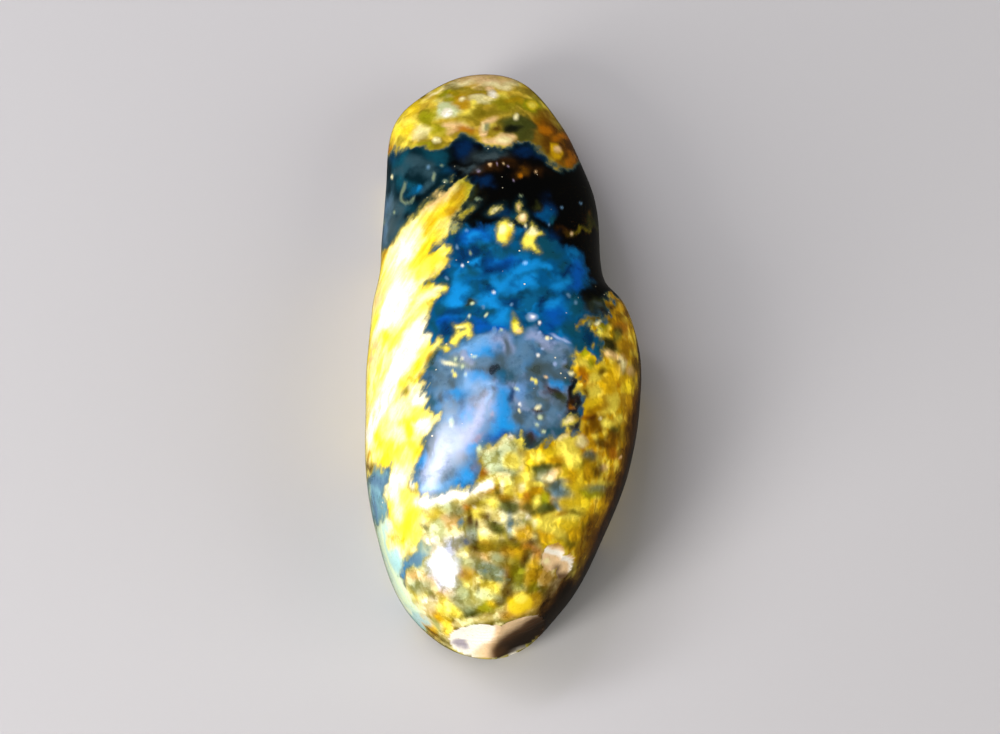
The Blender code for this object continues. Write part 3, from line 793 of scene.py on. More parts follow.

# %% [markdown]
# The right lobe is golden, and its fibres stand upright in folds with olive in their valleys.
# Towards the edge it turns orange and brown, because there is less cloud and more clear resin,
# and the darkest of that brown, laid with the flank below, is painted shade.

# %% The right lobe
lobe = patch([
    (5.5, 3.3), (4.7, 2.5), (3.6, 1.6), (3.3, 0.2), (3.2, -1.3), (3.6, -2.5), (3.7, -3.9), (2.8, -3.9),
    (2.0, -4.3), (1.0, -5.0), (0.8, -6.3), (1.3, -8.2), (1.8, -9.7), (3.5, -10.5), (8.2, -7.6),
    (8.3, 3.1),
], on=sheet)
folds = noise(0.4, 4, 71.0, combed(LOBE_FLOW, 2))
lay(tint, "gold", lobe, 0.6, 1.0)
fleck(tint, "lemon", folds, 0.52, 0.66, lobe, 0.55)
fleck(tint, "olive", 1 - folds, 0.52, 0.72, lobe, 0.7)
fleck(tint, "honey", noise(0.7, 3, 73.0), 0.52, 0.7, lobe, 0.35)
dabs(tint, 0.3, 0.85, [
    ("moss", 5.1, 1.9, 0.66, 0.66), ("umber", 5.5, 2.3, 0.26, 0.46, 110),
    ("umber", 4.3, 1.5, 0.61, 0.20, 10), ("mustard", 5.5, 2.5, 0.15, 0.46, 110),
    ("mustard", 5.8, 2.0, 0.15, 0.41, 110), ("umber", 5.1, 1.5, 0.61, 0.20, 170),
    ("umber", 5.5, 1.6, 0.31, 0.36), ("amber", 6.0, 1.7, 0.20, 0.61, 110),
    ("mustard", 5.8, 1.4, 0.20, 0.36, 110), ("mustard", 5.5, 1.6, 0.26, 0.26),
    ("honey", 6.0, 1.1, 0.41, 0.31), ("moss", 5.8, 0.9, 0.26, 0.31), ("moss", 4.8, 1.3, 0.51, 0.20),
    ("leaf", 5.0, 1.0, 0.31, 0.20, 60), ("lemon", 4.9, 0.7, 0.26, 0.15, 60),
    ("lemon", 4.8, 0.9, 0.08, 0.31, 20), ("moss", 5.5, 0.2, 0.61, 0.41), ("soot", 5.3, 0.2, 0.41, 0.26),
    ("mustard", 6.2, 0.2, 0.26, 0.51, 80), ("peach", 5.4, -0.3, 0.36, 0.15, 160),
    ("cream", 5.9, -0.7, 0.26, 0.36), ("mustard", 6.4, -0.5, 0.15, 0.51, 80),
    ("peach", 6.4, -1.1, 0.20, 0.20), ("gold", 5.5, -1.0, 0.36, 0.36), ("umber", 5.7, -0.6, 0.15, 0.10),
    ("yellow", 4.4, -0.3, 0.26, 0.46, 110), ("yellow", 4.7, -1.0, 0.20, 0.61, 100),
    ("leaf", 4.0, -0.1, 0.31, 0.20, 50), ("lemon", 4.1, -0.7, 0.15, 0.46, 60),
    ("leaf", 4.4, -0.7, 0.13, 0.26), ("lemon", 4.5, -1.4, 0.20, 0.46, 100),
    ("lemon", 4.6, -2.2, 0.26, 0.46, 95), ("umber", 4.9, -1.1, 0.20, 0.20),
    ("gold", 5.2, -1.8, 0.36, 0.61), ("honey", 5.7, -1.7, 0.20, 0.20),
    ("yellow", 6.2, -1.8, 0.36, 0.46), ("gold", 5.8, -1.5, 0.46, 0.20, 20),
    ("mustard", 6.1, -2.5, 0.41, 0.36), ("umber", 6.6, -2.5, 0.15, 0.46),
    ("lemon", 5.3, -2.7, 0.46, 0.36, 50), ("mustard", 4.8, -2.7, 0.31, 0.46, 110),
    ("honey", 3.9, -1.3, 0.26, 0.46), ("umber", 4.0, -2.1, 0.20, 0.26),
    ("lemon", 3.8, -2.4, 0.15, 0.31), ("yellow", 4.3, -2.6, 0.20, 0.51, 100),
    ("honey", 4.1, -3.3, 0.15, 0.61, 100), ("amber", 4.6, -3.7, 0.36, 0.61, 120),
    ("umber", 4.4, -3.3, 0.15, 0.31, 120), ("lemon", 5.2, -3.7, 0.31, 0.20, 160),
    ("lemon", 5.7, -3.5, 0.20, 0.26, 60), ("mustard", 6.2, -3.1, 0.26, 0.41),
    ("moss", 5.5, -4.1, 0.31, 0.26, 150), ("umber", 4.8, -4.6, 0.46, 0.26, 150),
    ("amber", 5.3, -4.5, 0.41, 0.46, 140), ("yellow", 6.1, -4.3, 0.20, 0.36),
    ("honey", 5.4, -5.1, 0.31, 0.31), ("cream", 3.8, -4.5, 0.31, 0.26),
    ("cream", 2.9, -4.2, 0.31, 0.20), ("lemon", 3.2, -4.4, 0.41, 0.20),
    ("lemon", 3.1, -5.0, 0.56, 0.46), ("yellow", 3.5, -5.8, 0.46, 0.82, 110),
    ("lemon", 3.4, -5.5, 0.26, 0.46, 110), ("gold", 3.3, -6.2, 0.26, 0.51),
    ("yellow", 3.7, -6.8, 0.46, 0.61), ("yellow", 3.9, -7.6, 0.41, 0.46),
    ("fog", 4.2, -5.2, 0.36, 0.31), ("olive", 4.0, -5.5, 0.15, 0.41, 120),
    ("peach", 4.9, -5.8, 0.20, 0.15), ("umber", 4.6, -5.9, 0.26, 0.41),
    ("leaf", 4.4, -7.0, 0.26, 0.82, 80), ("sage", 4.7, -6.8, 0.20, 0.66, 80),
    ("lemon", 5.1, -6.6, 0.15, 0.51, 80), ("mustard", 4.1, -5.9, 0.20, 0.46),
    ("gold", 4.8, -7.8, 0.31, 0.41), ("amber", 4.5, -8.3, 0.41, 0.31), ("umber", 4.2, -8.7, 0.31, 0.26),
    ("yellow", 2.0, -5.1, 0.71, 0.31, 10), ("lemon", 1.6, -5.2, 0.31, 0.26),
    ("mustard", 2.6, -5.4, 0.36, 0.26), ("yellow", 1.3, -5.7, 0.26, 0.41),
    ("sage", 1.9, -6.1, 0.66, 0.41), ("moss", 2.1, -5.7, 0.66, 0.13), ("moss", 1.5, -5.9, 0.15, 0.26),
    # The slate, fog and sage round (2.7, -7.0) draw a small hollow, and the moss at its lower left,
    # round (2.0, -7.6), is painted shade in it.
    ("peach", 2.4, -6.1, 0.20, 0.36, 110), ("fog", 2.7, -6.6, 0.31, 0.51, 120),
    ("slate", 2.9, -7.0, 0.26, 0.61, 80), ("slate", 2.7, -7.5, 0.20, 0.41, 50),
    ("moss", 2.3, -7.6, 0.20, 0.26, 50), ("cream", 2.2, -6.2, 0.26, 0.15),
    ("olive", 1.8, -7.0, 0.56, 0.51), ("mustard", 1.6, -6.8, 0.36, 0.31),
    ("lemon", 0.9, -6.7, 0.36, 0.26), ("lemon", 1.6, -6.5, 0.31, 0.13), ("leaf", 2.0, -7.3, 0.20, 0.31),
    ("moss", 1.6, -7.8, 0.61, 0.20, 10), ("moss", 2.0, -7.6, 0.26, 0.20),
    ("yellow", 3.3, -7.3, 0.51, 0.82, 20), ("lemon", 3.1, -8.1, 0.82, 0.41, 20),
    ("lemon", 2.3, -8.3, 0.82, 0.41, 15), ("mustard", 2.8, -7.9, 0.41, 0.13, 20),
    ("olive", 3.5, -7.9, 0.41, 0.13, 160), ("yellow", 3.0, -8.5, 0.61, 0.31),
    ("lemon", 1.5, -8.4, 0.31, 0.31), ("cream", 1.5, -8.4, 0.15, 0.20),
    ("olive", 3.0, -9.3, 0.61, 0.31, 20), ("lemon", 2.5, -8.8, 0.71, 0.20, 150),
    ("gold", 2.0, -9.0, 0.46, 0.26), ("yellow", 2.5, -9.4, 0.51, 0.20),
    ("sage", 2.7, -6.8, 0.31, 0.61, 75), ("slate", 2.7, -6.9, 0.20, 0.41, 75),
    ("fog", 2.6, -6.6, 0.20, 0.31, 75), ("moss", 1.7, -5.8, 0.51, 0.15, 170),
    ("moss", 2.3, -7.6, 0.36, 0.15, 30), ("olive", 3.4, -9.3, 0.31, 0.20),
    ("moss", 1.5, -9.0, 0.20, 0.15), ("gold", 3.5, -9.0, 0.36, 0.31),
], fine)
print("lobe covers", round(float((lobe > 0).mean()), 2))

# %% [markdown]
# The near third is a marbled mix of everything: cream, olive, brown and grey-green in patches a
# millimetre across, with a ragged white lip under the blue and a clear lemon eye at its end.

# %% The marbled near end
near = patch([
    (-3.8, -7.6), (-3.2, -7.1), (-2.6, -6.8), (-1.9, -6.9), (-1.3, -6.7), (-1.3, -5.7), (-1.2, -5.1),
    (-0.7, -4.5), (0.4, -4.1), (1.0, -4.9), (0.9, -6.3), (1.3, -8.2), (1.8, -9.7), (3.5, -10.5),
    (2.9, -16.9), (-5.1, -16.9), (-6.7, -10.5), (-4.8, -10.2),
], on=sheet)
lay(tint, "sage", near, 0.5, 0.75)
fleck(tint, "mustard", noise(1.2, 4, 89.0), 0.46, 0.68, near, 0.55)
fleck(tint, "olive", noise(0.9, 4, 87.0), 0.48, 0.68, near, 0.75)
fleck(tint, "lemon", noise(0.8, 4, 81.0), 0.52, 0.72, near, 0.5)
fleck(tint, "cream", noise(0.7, 4, 83.0), 0.50, 0.70, near, 0.75)
dabs(tint, 0.35, 0.85, [
    ("mint", -0.2, -5.1, 0.87, 0.77), ("mint", -0.6, -5.8, 0.41, 0.46),
    ("cream", -0.4, -4.7, 0.46, 0.15, 30), ("sage", -0.2, -5.0, 0.20, 0.10, 30),
    ("lemon", 0.4, -5.4, 0.41, 0.41), ("sage", 0.1, -5.9, 0.46, 0.20),
    ("olive", -1.2, -5.8, 0.31, 0.20), ("honey", -1.0, -6.0, 0.26, 0.20),
    ("lemon", 1.0, -6.2, 0.46, 0.26, 20), ("lemon", -0.5, -6.3, 0.51, 0.20, 10),
    ("mustard", -0.5, -6.9, 0.61, 0.31), ("lemon", 0.2, -6.7, 0.20, 0.46),
    ("yellow", 0.8, -6.8, 0.36, 0.36), ("cream", 0.8, -6.6, 0.20, 0.20),
    ("honey", 1.1, -7.1, 0.26, 0.26), ("mustard", 1.0, -7.5, 0.46, 0.31),
    ("mustard", 0.1, -7.2, 0.36, 0.20), ("lemon", -0.7, -7.5, 0.46, 0.31),
    ("cream", -0.8, -7.8, 0.36, 0.26), ("umber", -0.9, -8.0, 0.20, 0.15),
    ("cream", -0.2, -8.1, 0.36, 0.31), ("lemon", -1.3, -7.9, 0.41, 0.41),
    ("cream", -0.9, -8.6, 0.51, 0.26, 150), ("moss", -0.2, -8.6, 0.36, 0.26, 150),
    ("moss", 0.2, -7.6, 0.46, 0.31), ("honey", -1.9, -7.7, 0.51, 0.26, 20),
    ("umber", -2.1, -7.8, 0.20, 0.15), ("peach", -2.5, -8.2, 0.46, 0.41),
    ("cream", -2.3, -8.8, 0.26, 0.46, 75), ("mint", -3.0, -7.5, 0.46, 0.26, 30),
    ("lemon", -3.3, -7.9, 0.51, 0.26, 30), ("mint", -3.2, -8.7, 0.61, 0.46, 50),
    ("white", -3.7, -9.2, 0.26, 0.20), ("moss", -3.8, -8.6, 0.20, 0.15),
    ("lemon", -4.1, -9.0, 0.31, 0.41), ("peach", -2.7, -8.0, 0.26, 0.15),
    ("umber", -1.6, -8.1, 0.15, 0.31), ("sage", -1.5, -8.7, 0.31, 0.41),
    ("mustard", -0.9, -9.4, 0.61, 0.26), ("umber", -1.2, -9.5, 0.31, 0.20),
    ("gold", 1.0, -8.9, 0.46, 0.46), ("olive", 0.5, -9.4, 0.61, 0.20), ("honey", 1.2, -9.5, 0.36, 0.26),
    ("olive", 1.1, -9.9, 0.26, 0.41), ("gold", 0.7, -9.8, 0.31, 0.31),
    ("mustard", -1.1, -10.0, 0.66, 0.36), ("peach", -1.2, -9.9, 0.36, 0.15),
    ("sage", -0.2, -9.9, 0.41, 0.31), ("honey", 1.6, -9.9, 0.26, 0.36),
    ("gold", 1.5, -10.4, 0.26, 0.46), ("mustard", 2.0, -11.0, 0.46, 0.41),
    ("mustard", -1.8, -10.7, 0.36, 0.31), ("lemon", -0.5, -11.4, 0.46, 0.36),
    ("peach", -3.9, -11.1, 0.92, 0.51, 20), ("mustard", -4.2, -11.4, 0.51, 0.20, 20),
    ("lemon", -4.5, -11.9, 0.41, 0.36), ("sage", -4.7, -12.6, 0.36, 0.31),
    ("mint", -4.3, -11.4, 0.41, 0.26), ("peach", -2.7, -11.7, 0.71, 0.31, 150),
    ("lemon", -1.7, -11.8, 0.51, 0.41), ("white", -3.5, -12.4, 0.41, 0.46),
    ("lemon", -2.9, -12.4, 0.31, 0.51), ("peach", -3.9, -13.3, 0.46, 0.36, 130),
    ("gold", -3.1, -13.0, 0.51, 0.20, 140), ("lemon", -2.4, -12.6, 0.36, 0.31),
    ("moss", -1.6, -12.7, 0.36, 0.26), ("leaf", -0.8, -12.4, 0.51, 0.31),
    ("yellow", -0.5, -12.2, 0.20, 0.20), ("cream", -1.1, -13.0, 0.82, 0.15, 10),
    ("yellow", -2.7, -13.5, 0.31, 0.46), ("mustard", -3.4, -13.9, 0.61, 0.20, 130),
    ("olive", -2.9, -14.3, 0.46, 0.20, 150), ("gold", -3.7, -13.3, 0.15, 0.46, 40),
    ("leaf", 0.7, -10.8, 0.41, 0.61), ("mustard", 0.2, -10.6, 0.20, 0.46),
    ("gold", 1.3, -11.1, 0.31, 0.46), ("umber", 0.3, -11.1, 0.20, 0.41),
    ("leaf", 1.4, -11.7, 0.26, 0.46), ("umber", 0.1, -11.6, 0.26, 0.31),
    ("gold", 0.8, -12.3, 0.71, 0.71), ("gold", 1.6, -12.1, 0.36, 0.41),
    ("mustard", 0.2, -12.8, 0.41, 0.26),
], fine)
dabs(tint, 0.2, 0.9, [
    ("yellow", 0.8, -12.2, 0.56, 0.56), ("lemon", 0.8, -11.9, 0.36, 0.26),
    ("yellow", 0.3, -12.0, 0.15, 0.15), ("white", 1.2, -8.1, 0.15, 0.13),
    ("white", 0.4, -4.2, 0.20, 0.15), ("cream", -1.6, -7.3, 0.26, 0.15),
    ("cream", -0.7, -8.5, 0.15, 0.10), ("lemon", 1.6, -7.4, 0.26, 0.13, 60),
    ("cream", -0.2, -10.9, 0.10, 0.26), ("white", -1.3, -7.6, 0.10, 0.10),
    ("cream", -0.1, -6.6, 0.10, 0.26), ("umber", -0.4, -8.3, 0.13, 0.13),
    ("umber", -1.3, -8.4, 0.10, 0.20), ("cream", -1.9, -9.8, 0.20, 0.10),
    ("olive", -1.2, -11.5, 0.10, 0.31),
], fine)
dabs(tint, 0.3, 0.8, [
    ("moss", -0.4, -8.5, 0.46, 0.26, 150), ("moss", 0.3, -7.6, 0.41, 0.31),
    ("umber", -0.9, -8.0, 0.26, 0.18), ("umber", -1.6, -8.2, 0.15, 0.36),
    ("olive", -1.2, -7.4, 0.46, 0.20), ("olive", -2.0, -7.9, 0.51, 0.20),
    ("moss", 1.2, -7.6, 0.41, 0.20), ("olive", -0.2, -9.4, 0.61, 0.31),
    ("olive", -1.1, -9.5, 0.41, 0.26), ("moss", -1.4, -9.2, 0.20, 0.26),
    ("olive", -0.7, -7.1, 0.41, 0.15), ("moss", -0.3, -6.9, 0.20, 0.15),
    ("umber", 0.4, -9.1, 0.26, 0.20), ("olive", 0.6, -10.2, 0.26, 0.46),
    ("umber", 1.0, -10.0, 0.20, 0.41), ("moss", -1.5, -12.7, 0.31, 0.20),
    ("olive", -0.8, -10.8, 0.20, 0.46), ("slate", -0.9, -10.4, 0.46, 0.26),
    ("slate", -0.3, -10.6, 0.31, 0.46, 70), ("slate", 0.3, -8.4, 0.15, 0.46),
    ("umber", -0.2, -12.0, 0.20, 0.31), ("olive", -2.3, -12.0, 0.41, 0.20),
    ("mustard", 0.2, -9.7, 0.36, 0.26), ("umber", 1.4, -9.2, 0.31, 0.15),
], fine)
# The lilac at (-2.8, -10.5) is a painted highlight halo round the key's bright spot, and the lilac at
# (-2.4, -9.3) a painted reflection veil above it.
dabs(tint, 0.5, 0.75, [
    ("lilac", -2.4, -9.3, 0.87, 0.41, 15), ("sage", -1.5, -10.2, 0.41, 0.71, 100),
    ("sage", -2.0, -11.6, 0.71, 0.31, 10), ("mint", -3.8, -10.3, 0.46, 0.61, 60),
    ("sage", -4.0, -11.5, 0.61, 0.36, 40), ("umber", -1.2, -9.6, 0.15, 0.10),
    ("sage", -0.5, -10.6, 0.46, 0.61, 70), ("olive", 0.1, -10.2, 0.31, 0.46),
    ("lilac", -2.8, -10.5, 0.82, 0.92), ("sage", -1.8, -12.0, 0.61, 0.51),
    ("mint", -0.8, -11.8, 0.46, 0.36), ("sage", -2.5, -7.6, 0.46, 0.31),
])
shore = patch([
    (-7.2, -8.3), (-5.7, -8.2), (-5.6, -8.8), (-5.5, -9.6), (-5.0, -9.8), (-4.9, -10.5), (-5.0, -11.3),
    (-4.4, -12.2), (-3.6, -13.3), (-4.1, -14.4), (-6.1, -12.5), (-7.2, -10.5),
])
lay(tint, "ice", shore, 0.6, 0.8)
lay(tint, "mint", strand([
    (-6.2, -8.5), (-6.1, -9.1), (-5.8, -10.2), (-5.2, -11.5), (-4.4, -12.6),
], 0.2), 0.4, 0.8)
lay(tint, "cream", strand([(-6.6, -9.5), (-6.1, -10.6), (-5.5, -11.8), (-4.6, -13.0)], 0.12), 0.3, 0.6)
lip = strand([
    (-3.8, -7.5), (-3.2, -7.1), (-2.6, -6.9), (-1.9, -7.0), (-1.4, -6.7), (-0.7, -6.5),
], 0.2, fine)
lip = np.maximum(lip, blot((-2.7, -7.1), 0.61, 0.20, 20, on=fine))
lay(tint, "cream", strand([
    (-1.1, -6.7), (-0.6, -6.3), (-0.2, -6.1), (0.2, -6.1),
], 0.1, fine), 0.25, 0.8)
lay(tint, "white", lip, 0.25, 0.95)
print("near end covers", round(float((near > 0).mean()), 2))

# %% [markdown]
# All down the right flank the cloud thins out, and what is left is the brown of deep, clear
# resin. Three outlines, each a little nearer the edge than the last, go from amber to near black.
# That darkening towards the edge is also painted shade, because the flank turns away from the light.

# %% The dark right flank, partly painted shade
# Amber to near black towards the right edge: deep resin, and painted shade where the flank turns from
# the light.
FLANK_RESIN_AND_SHADE = (
    ("amber", 0.85, [
        (7.2, -1.3), (6.3, -2.3), (5.6, -5.0), (5.1, -6.9), (4.3, -8.4), (3.5, -9.8), (3.4, -11.0),
        (2.5, -11.0), (2.1, -11.6), (1.8, -12.2), (1.5, -12.7), (1.2, -13.2), (2.1, -15.9),
        (6.9, -14.5), (8.5, -2.5),
    ]),
    ("umber", 0.97, [
        (7.3, 1.5), (6.6, 0.0), (6.6, -2.5), (5.7, -6.0), (4.8, -8.4), (4.0, -9.8), (3.6, -11.0),
        (2.7, -11.0), (2.3, -11.8), (2.0, -12.2), (1.7, -12.7), (1.4, -13.2), (2.3, -15.9),
        (7.4, -14.5), (9.0, -2.5),
    ]),
    ("soot", 0.85, [
        (7.1, 1.0), (7.0, -2.5), (6.1, -6.0), (5.2, -8.5), (4.4, -10.0), (3.8, -11.2), (2.9, -11.2),
        (2.5, -12.0), (2.2, -12.4), (1.9, -12.9), (1.7, -13.4), (2.9, -16.0), (7.4, -14.5), (9.0, -2.5),
    ]),
)
for name, strength, outline in FLANK_RESIN_AND_SHADE:
    lay(tint, name, patch(outline), 0.8, strength)
print("mean cloud colour", np.round(tint.mean(axis=0), 2))

# %% [markdown]
# Where a cloud thins out at its edge, the clear resin in front of it takes most of the light
# away, so a dark olive fringe runs round the inside of every edge, and a green one outside it.
# A teal band, painted shade, also darkens the clear resin just outside every cloud, fading out
# over 0.4 mm. Bright sparks, which are tiny cracks that face the light, go over both layers,
# because they lie in clouds and in clear resin alike; their brightness is painted glint. How
# clear the resin is follows from its colour: the darker, the clearer.

# %% Fringes and sparks
# The teal just outside each cloud is painted shade; the leaf and olive are the edge's own colours.
fleck(ground, "teal", cloud, -0.4, -0.05, strength=0.45)
fleck(ground, "leaf", cloud, -0.18, 0.02, strength=0.25)
fleck(tint, "olive", -cloud, -0.22, 0.02, strength=0.5)

LEAST_CLEAR = 0.3
CLEARER_IN_DARK = 0.62
# Specks whose brightness is painted glint: tiny cracks that face the light.
glinting_specks = [
    ("mauve", -1.3, 9.3, 0.06, 0.06), ("peach", -0.7, 9.6, 0.07, 0.05),
    ("mauve", -0.3, 9.6, 0.05, 0.05), ("peach", 0.1, 9.6, 0.05, 0.05), ("mauve", 0.3, 9.5, 0.05, 0.05),
    ("honey", 0.9, 9.0, 0.09, 0.11), ("mauve", 0.6, 8.8, 0.05, 0.07), ("peach", 1.7, 9.2, 0.08, 0.06),
    ("cream", -5.8, 9.1, 0.08, 0.08), ("sage", -3.6, 9.0, 0.08, 0.20), ("sage", -3.2, 9.6, 0.08, 0.07),
    ("sage", -3.0, 8.7, 0.10, 0.06), ("slate", -3.9, 9.5, 0.07, 0.07), ("slate", 3.0, 7.3, 0.08, 0.08),
    ("slate", 4.0, 7.6, 0.07, 0.07), ("peach", 3.5, 6.0, 0.08, 0.08), ("umber", 4.5, 7.1, 0.07, 0.10),
    ("sage", 0.9, 7.9, 0.08, 0.07), ("sage", -1.2, 7.8, 0.10, 0.07), ("slate", 2.3, 6.3, 0.07, 0.07),
    ("cream", 1.1, 6.3, 0.07, 0.10), ("cream", 0.4, 6.3, 0.07, 0.08), ("white", -2.1, 4.2, 0.07, 0.10),
    ("white", -0.5, 2.9, 0.10, 0.10), ("mint", -1.5, 2.3, 0.10, 0.08), ("slate", 1.4, 1.6, 0.31, 0.26),
    ("lilac", 1.4, 1.6, 0.18, 0.16), ("white", 1.4, 1.6, 0.09, 0.08), ("white", 1.8, 1.3, 0.07, 0.09),
    ("lilac", 1.8, 0.9, 0.07, 0.08), ("cream", 2.2, 0.6, 0.10, 0.12), ("lilac", 1.9, 0.0, 0.07, 0.07),
    ("white", 1.7, -0.3, 0.08, 0.07), ("slate", 3.3, 2.7, 0.10, 0.10), ("slate", 3.6, 2.4, 0.08, 0.07),
    ("slate", 0.4, 2.2, 0.07, 0.07), ("slate", -2.9, 3.6, 0.07, 0.07), ("slate", -2.3, 5.2, 0.07, 0.10),
    ("sage", -1.7, 4.9, 0.07, 0.10), ("slate", -1.8, 6.1, 0.07, 0.07), ("mint", -1.7, 1.6, 0.07, 0.10),
    ("mint", -0.8, 1.7, 0.07, 0.10), ("slate", -1.0, 2.1, 0.07, 0.10), ("slate", -0.4, 1.0, 0.10, 0.13),
    ("mint", -0.1, 0.9, 0.10, 0.07), ("sky", 1.1, 4.4, 0.10, 0.10),
    ("cream", -2.6, -0.7, 0.09, 0.36, 70), ("mint", -2.3, -0.5, 0.07, 0.07),
    ("cream", -2.0, -0.5, 0.08, 0.07), ("mint", -2.0, -0.9, 0.07, 0.08),
    ("lemon", -2.5, -1.1, 0.07, 0.07), ("lemon", -2.4, -1.3, 0.10, 0.10),
    ("mint", -1.8, -1.3, 0.07, 0.07), ("mint", -1.4, -0.3, 0.13, 0.06),
    ("lemon", 1.4, -1.5, 0.08, 0.07), ("lemon", 1.6, -1.6, 0.10, 0.11),
    ("mint", 0.6, -1.9, 0.08, 0.13, 60), ("white", 0.8, -2.7, 0.07, 0.07),
    ("cream", 0.8, -3.0, 0.07, 0.06), ("cream", 1.7, -2.8, 0.13, 0.07, 40),
    ("mint", 1.8, -3.3, 0.13, 0.10, 120), ("mint", 1.6, -3.7, 0.10, 0.07),
    ("mint", 2.0, -4.0, 0.11, 0.10), ("cream", 3.3, -1.1, 0.13, 0.10), ("lemon", 3.8, -1.7, 0.08, 0.07),
    ("lilac", 2.6, -0.7, 0.10, 0.10), ("peach", 2.1, -1.4, 0.10, 0.07),
    ("mint", -2.5, -3.5, 0.10, 0.14), ("mint", -2.5, -3.7, 0.07, 0.10),
    ("white", 0.4, -4.2, 0.10, 0.08), ("cream", 4.7, 1.3, 0.08, 0.20, 110),
    ("sage", 4.2, 1.2, 0.07, 0.07), ("peach", 5.8, -5.3, 0.05, 0.08), ("cream", 4.8, -3.4, 0.07, 0.07),
    ("mauve", -0.5, -3.2, 0.07, 0.07), ("mint", -1.1, -4.9, 0.10, 0.13),
    ("mustard", 5.5, 2.9, 0.07, 0.13), ("sage", -5.6, 7.1, 0.10, 0.07), ("sage", -6.2, 6.7, 0.10, 0.07),
    ("cream", 2.4, 0.6, 0.05, 0.05), ("lilac", 2.7, 0.6, 0.31, 0.06, 150),
    ("lilac", 3.1, 0.4, 0.20, 0.05, 150),
]
for layer in (ground, tint):
    dabs(layer, 0.12, 0.85, glinting_specks, fine)
    lay(layer, "sage", strand([
        (-5.1, 8.7), (-5.3, 8.3), (-5.3, 7.9), (-5.0, 7.6), (-4.7, 7.6), (-4.6, 7.8),
    ], 0.09, fine), 0.16, 0.7)
glinting_speck_shape = np.max([blot((x, y), *oval, on=fine) for _, x, y, *oval in glinting_specks], axis=0)
dark = contrast(ground.max(axis=1), 0.12, 0.01)
clear = LEAST_CLEAR + CLEARER_IN_DARK * dark
clear *= 1 - 0.9 * contrast(glinting_speck_shape, -0.1, 0.02)
print("clearness", np.round([clear.min(), clear.max()], 2))

# %% [markdown]
# Breaks are bruised and dull, so the end chip looks white where it faces the light, tan beside
# its ridge and nearly black beyond; the umber and near black beyond the ridge are painted shade,
# on the facet turned away from the light. The nick has a thin white arch round a tan hollow. The
# arch is partly painted light, where its rim faces the lamp, and the umber in the hollow and under
# it is painted shade.

# %% The colour of the chips
depth_now = np.concatenate([chip_depth.ravel(), [0, 0]])
frost = contrast(depth_now, 0.005, 0.04)
print("chipped points", int((frost > 0.5).sum()))
chipped = frost - 0.5
lay(tint, "white", chipped, 0.1, 0.9)


def on_chip(name, shape, soft, strength):
    """Lays a colour on the chips alone."""
    lay(tint, name, np.minimum(shape, chipped), soft, strength)


on_chip("peach", blot((-0.8, -14.8), 0.71, 0.36, 30, on=fine), 0.3, 0.9)
on_chip("peach", patch([
    (-0.3, -12.9), (-0.5, -14.1), (-0.8, -15.4), (2.9, -16.0), (2.8, -12.9),
], fine), 0.3, 0.9)
# Umber and near black beyond the end chip's ridge: painted shade.
on_chip("umber", patch([
    (2.4, -12.4), (1.3, -13.0), (0.5, -13.6), (-0.2, -14.1), (-0.7, -14.7), (-0.9, -15.6), (2.9, -16.4),
    (3.6, -12.5),
], fine), 0.6, 0.97)
on_chip("soot", patch([
    (2.6, -12.7), (1.6, -13.3), (0.7, -13.9), (-0.1, -14.5), (-0.5, -15.6), (2.9, -16.4), (3.6, -12.5),
], fine), 0.9, 0.85)
on_chip("mauve", blot((-2.1, -14.5), 0.46, 0.26, 150, on=fine), 0.2, 0.8)
on_chip("peach", blot((2.5, -10.3), 1.4, 1.2, on=fine), 0.25, 0.9)
on_chip("cream", blot((2.1, -10.3), 0.15, 0.20, 60, on=fine), 0.2, 0.8)
# Umber in the nick's hollow and under it: painted shade.
on_chip("umber", blot((2.6, -10.6), 0.26, 0.20, 60, on=fine), 0.25, 0.85)
on_chip("umber", patch([
    (2.4, -10.8), (3.1, -10.9), (3.8, -11.4), (3.3, -12.5), (2.1, -11.6),
], fine), 0.3, 0.9)
on_chip("mustard", patch([
    (0.8, -10.3), (1.9, -10.4), (2.2, -10.7), (2.2, -11.1), (1.8, -12.1), (0.8, -12.0),
], fine), 0.3, 0.95)
on_chip("mustard", patch([
    (1.3, -8.7), (1.3, -9.6), (2.3, -9.5), (2.8, -9.6), (3.3, -10.0), (4.0, -10.1), (3.7, -8.8),
], fine), 0.2, 0.95)
# The nick's white arch: bruised resin, partly painted light where its rim faces the lamp.
on_chip("white", strand([
    (1.8, -9.6), (2.3, -9.8), (2.8, -9.9), (3.2, -10.3), (3.3, -10.9),
], 0.13, fine), 0.12, 0.95)
cloud = np.maximum(cloud, chipped * 2)

# %% [markdown]
# Each field becomes an attribute of the mesh, one value or one colour at each point, which the
# material reads by name. Attributes follow the surface wherever the stone goes.

# %% Store the fields
def store(mesh, name, values):
    """One float or one colour per point, by the number of columns."""
    flat = values.ndim == 1
    attribute = mesh.attributes.new(name, "FLOAT" if flat else "FLOAT_COLOR", "POINT")
    if flat:
        attribute.data.foreach_set("value", values.astype(np.float32))
    else:
        full = np.concatenate([values, np.ones((len(values), 1))], axis=1)
        attribute.data.foreach_set("color", full.astype(np.float32).ravel())


combing_there = contrast(left, -0.6, 0.6)
folding_there = contrast(lobe, -0.4, 0.4) * (1 - combing_there)
marbling_there = (1 - combing_there - folding_there) * (1 - 0.5 * contrast(cap, -0.4, 0.4))
grains = np.stack([combing_there, folding_there + 0.5 * marbling_there, marbling_there], axis=-1)
plain = np.max([islands, lip, shore, blot((0.8, -12.3), 0.61, 0.61, on=fine)], axis=0)
grains *= 1 - np.maximum(contrast(plain, -0.1, 0.1), frost)[:, None]

for name, values in (
    ("ground", ground), ("tint", tint), ("cloud", np.clip(cloud, -1, 1)), ("clear", clear),
    ("frost", frost), ("grains", grains),
):
    store(stone_mesh, name, values)
    print(name, np.round(values.mean(axis=0), 2))

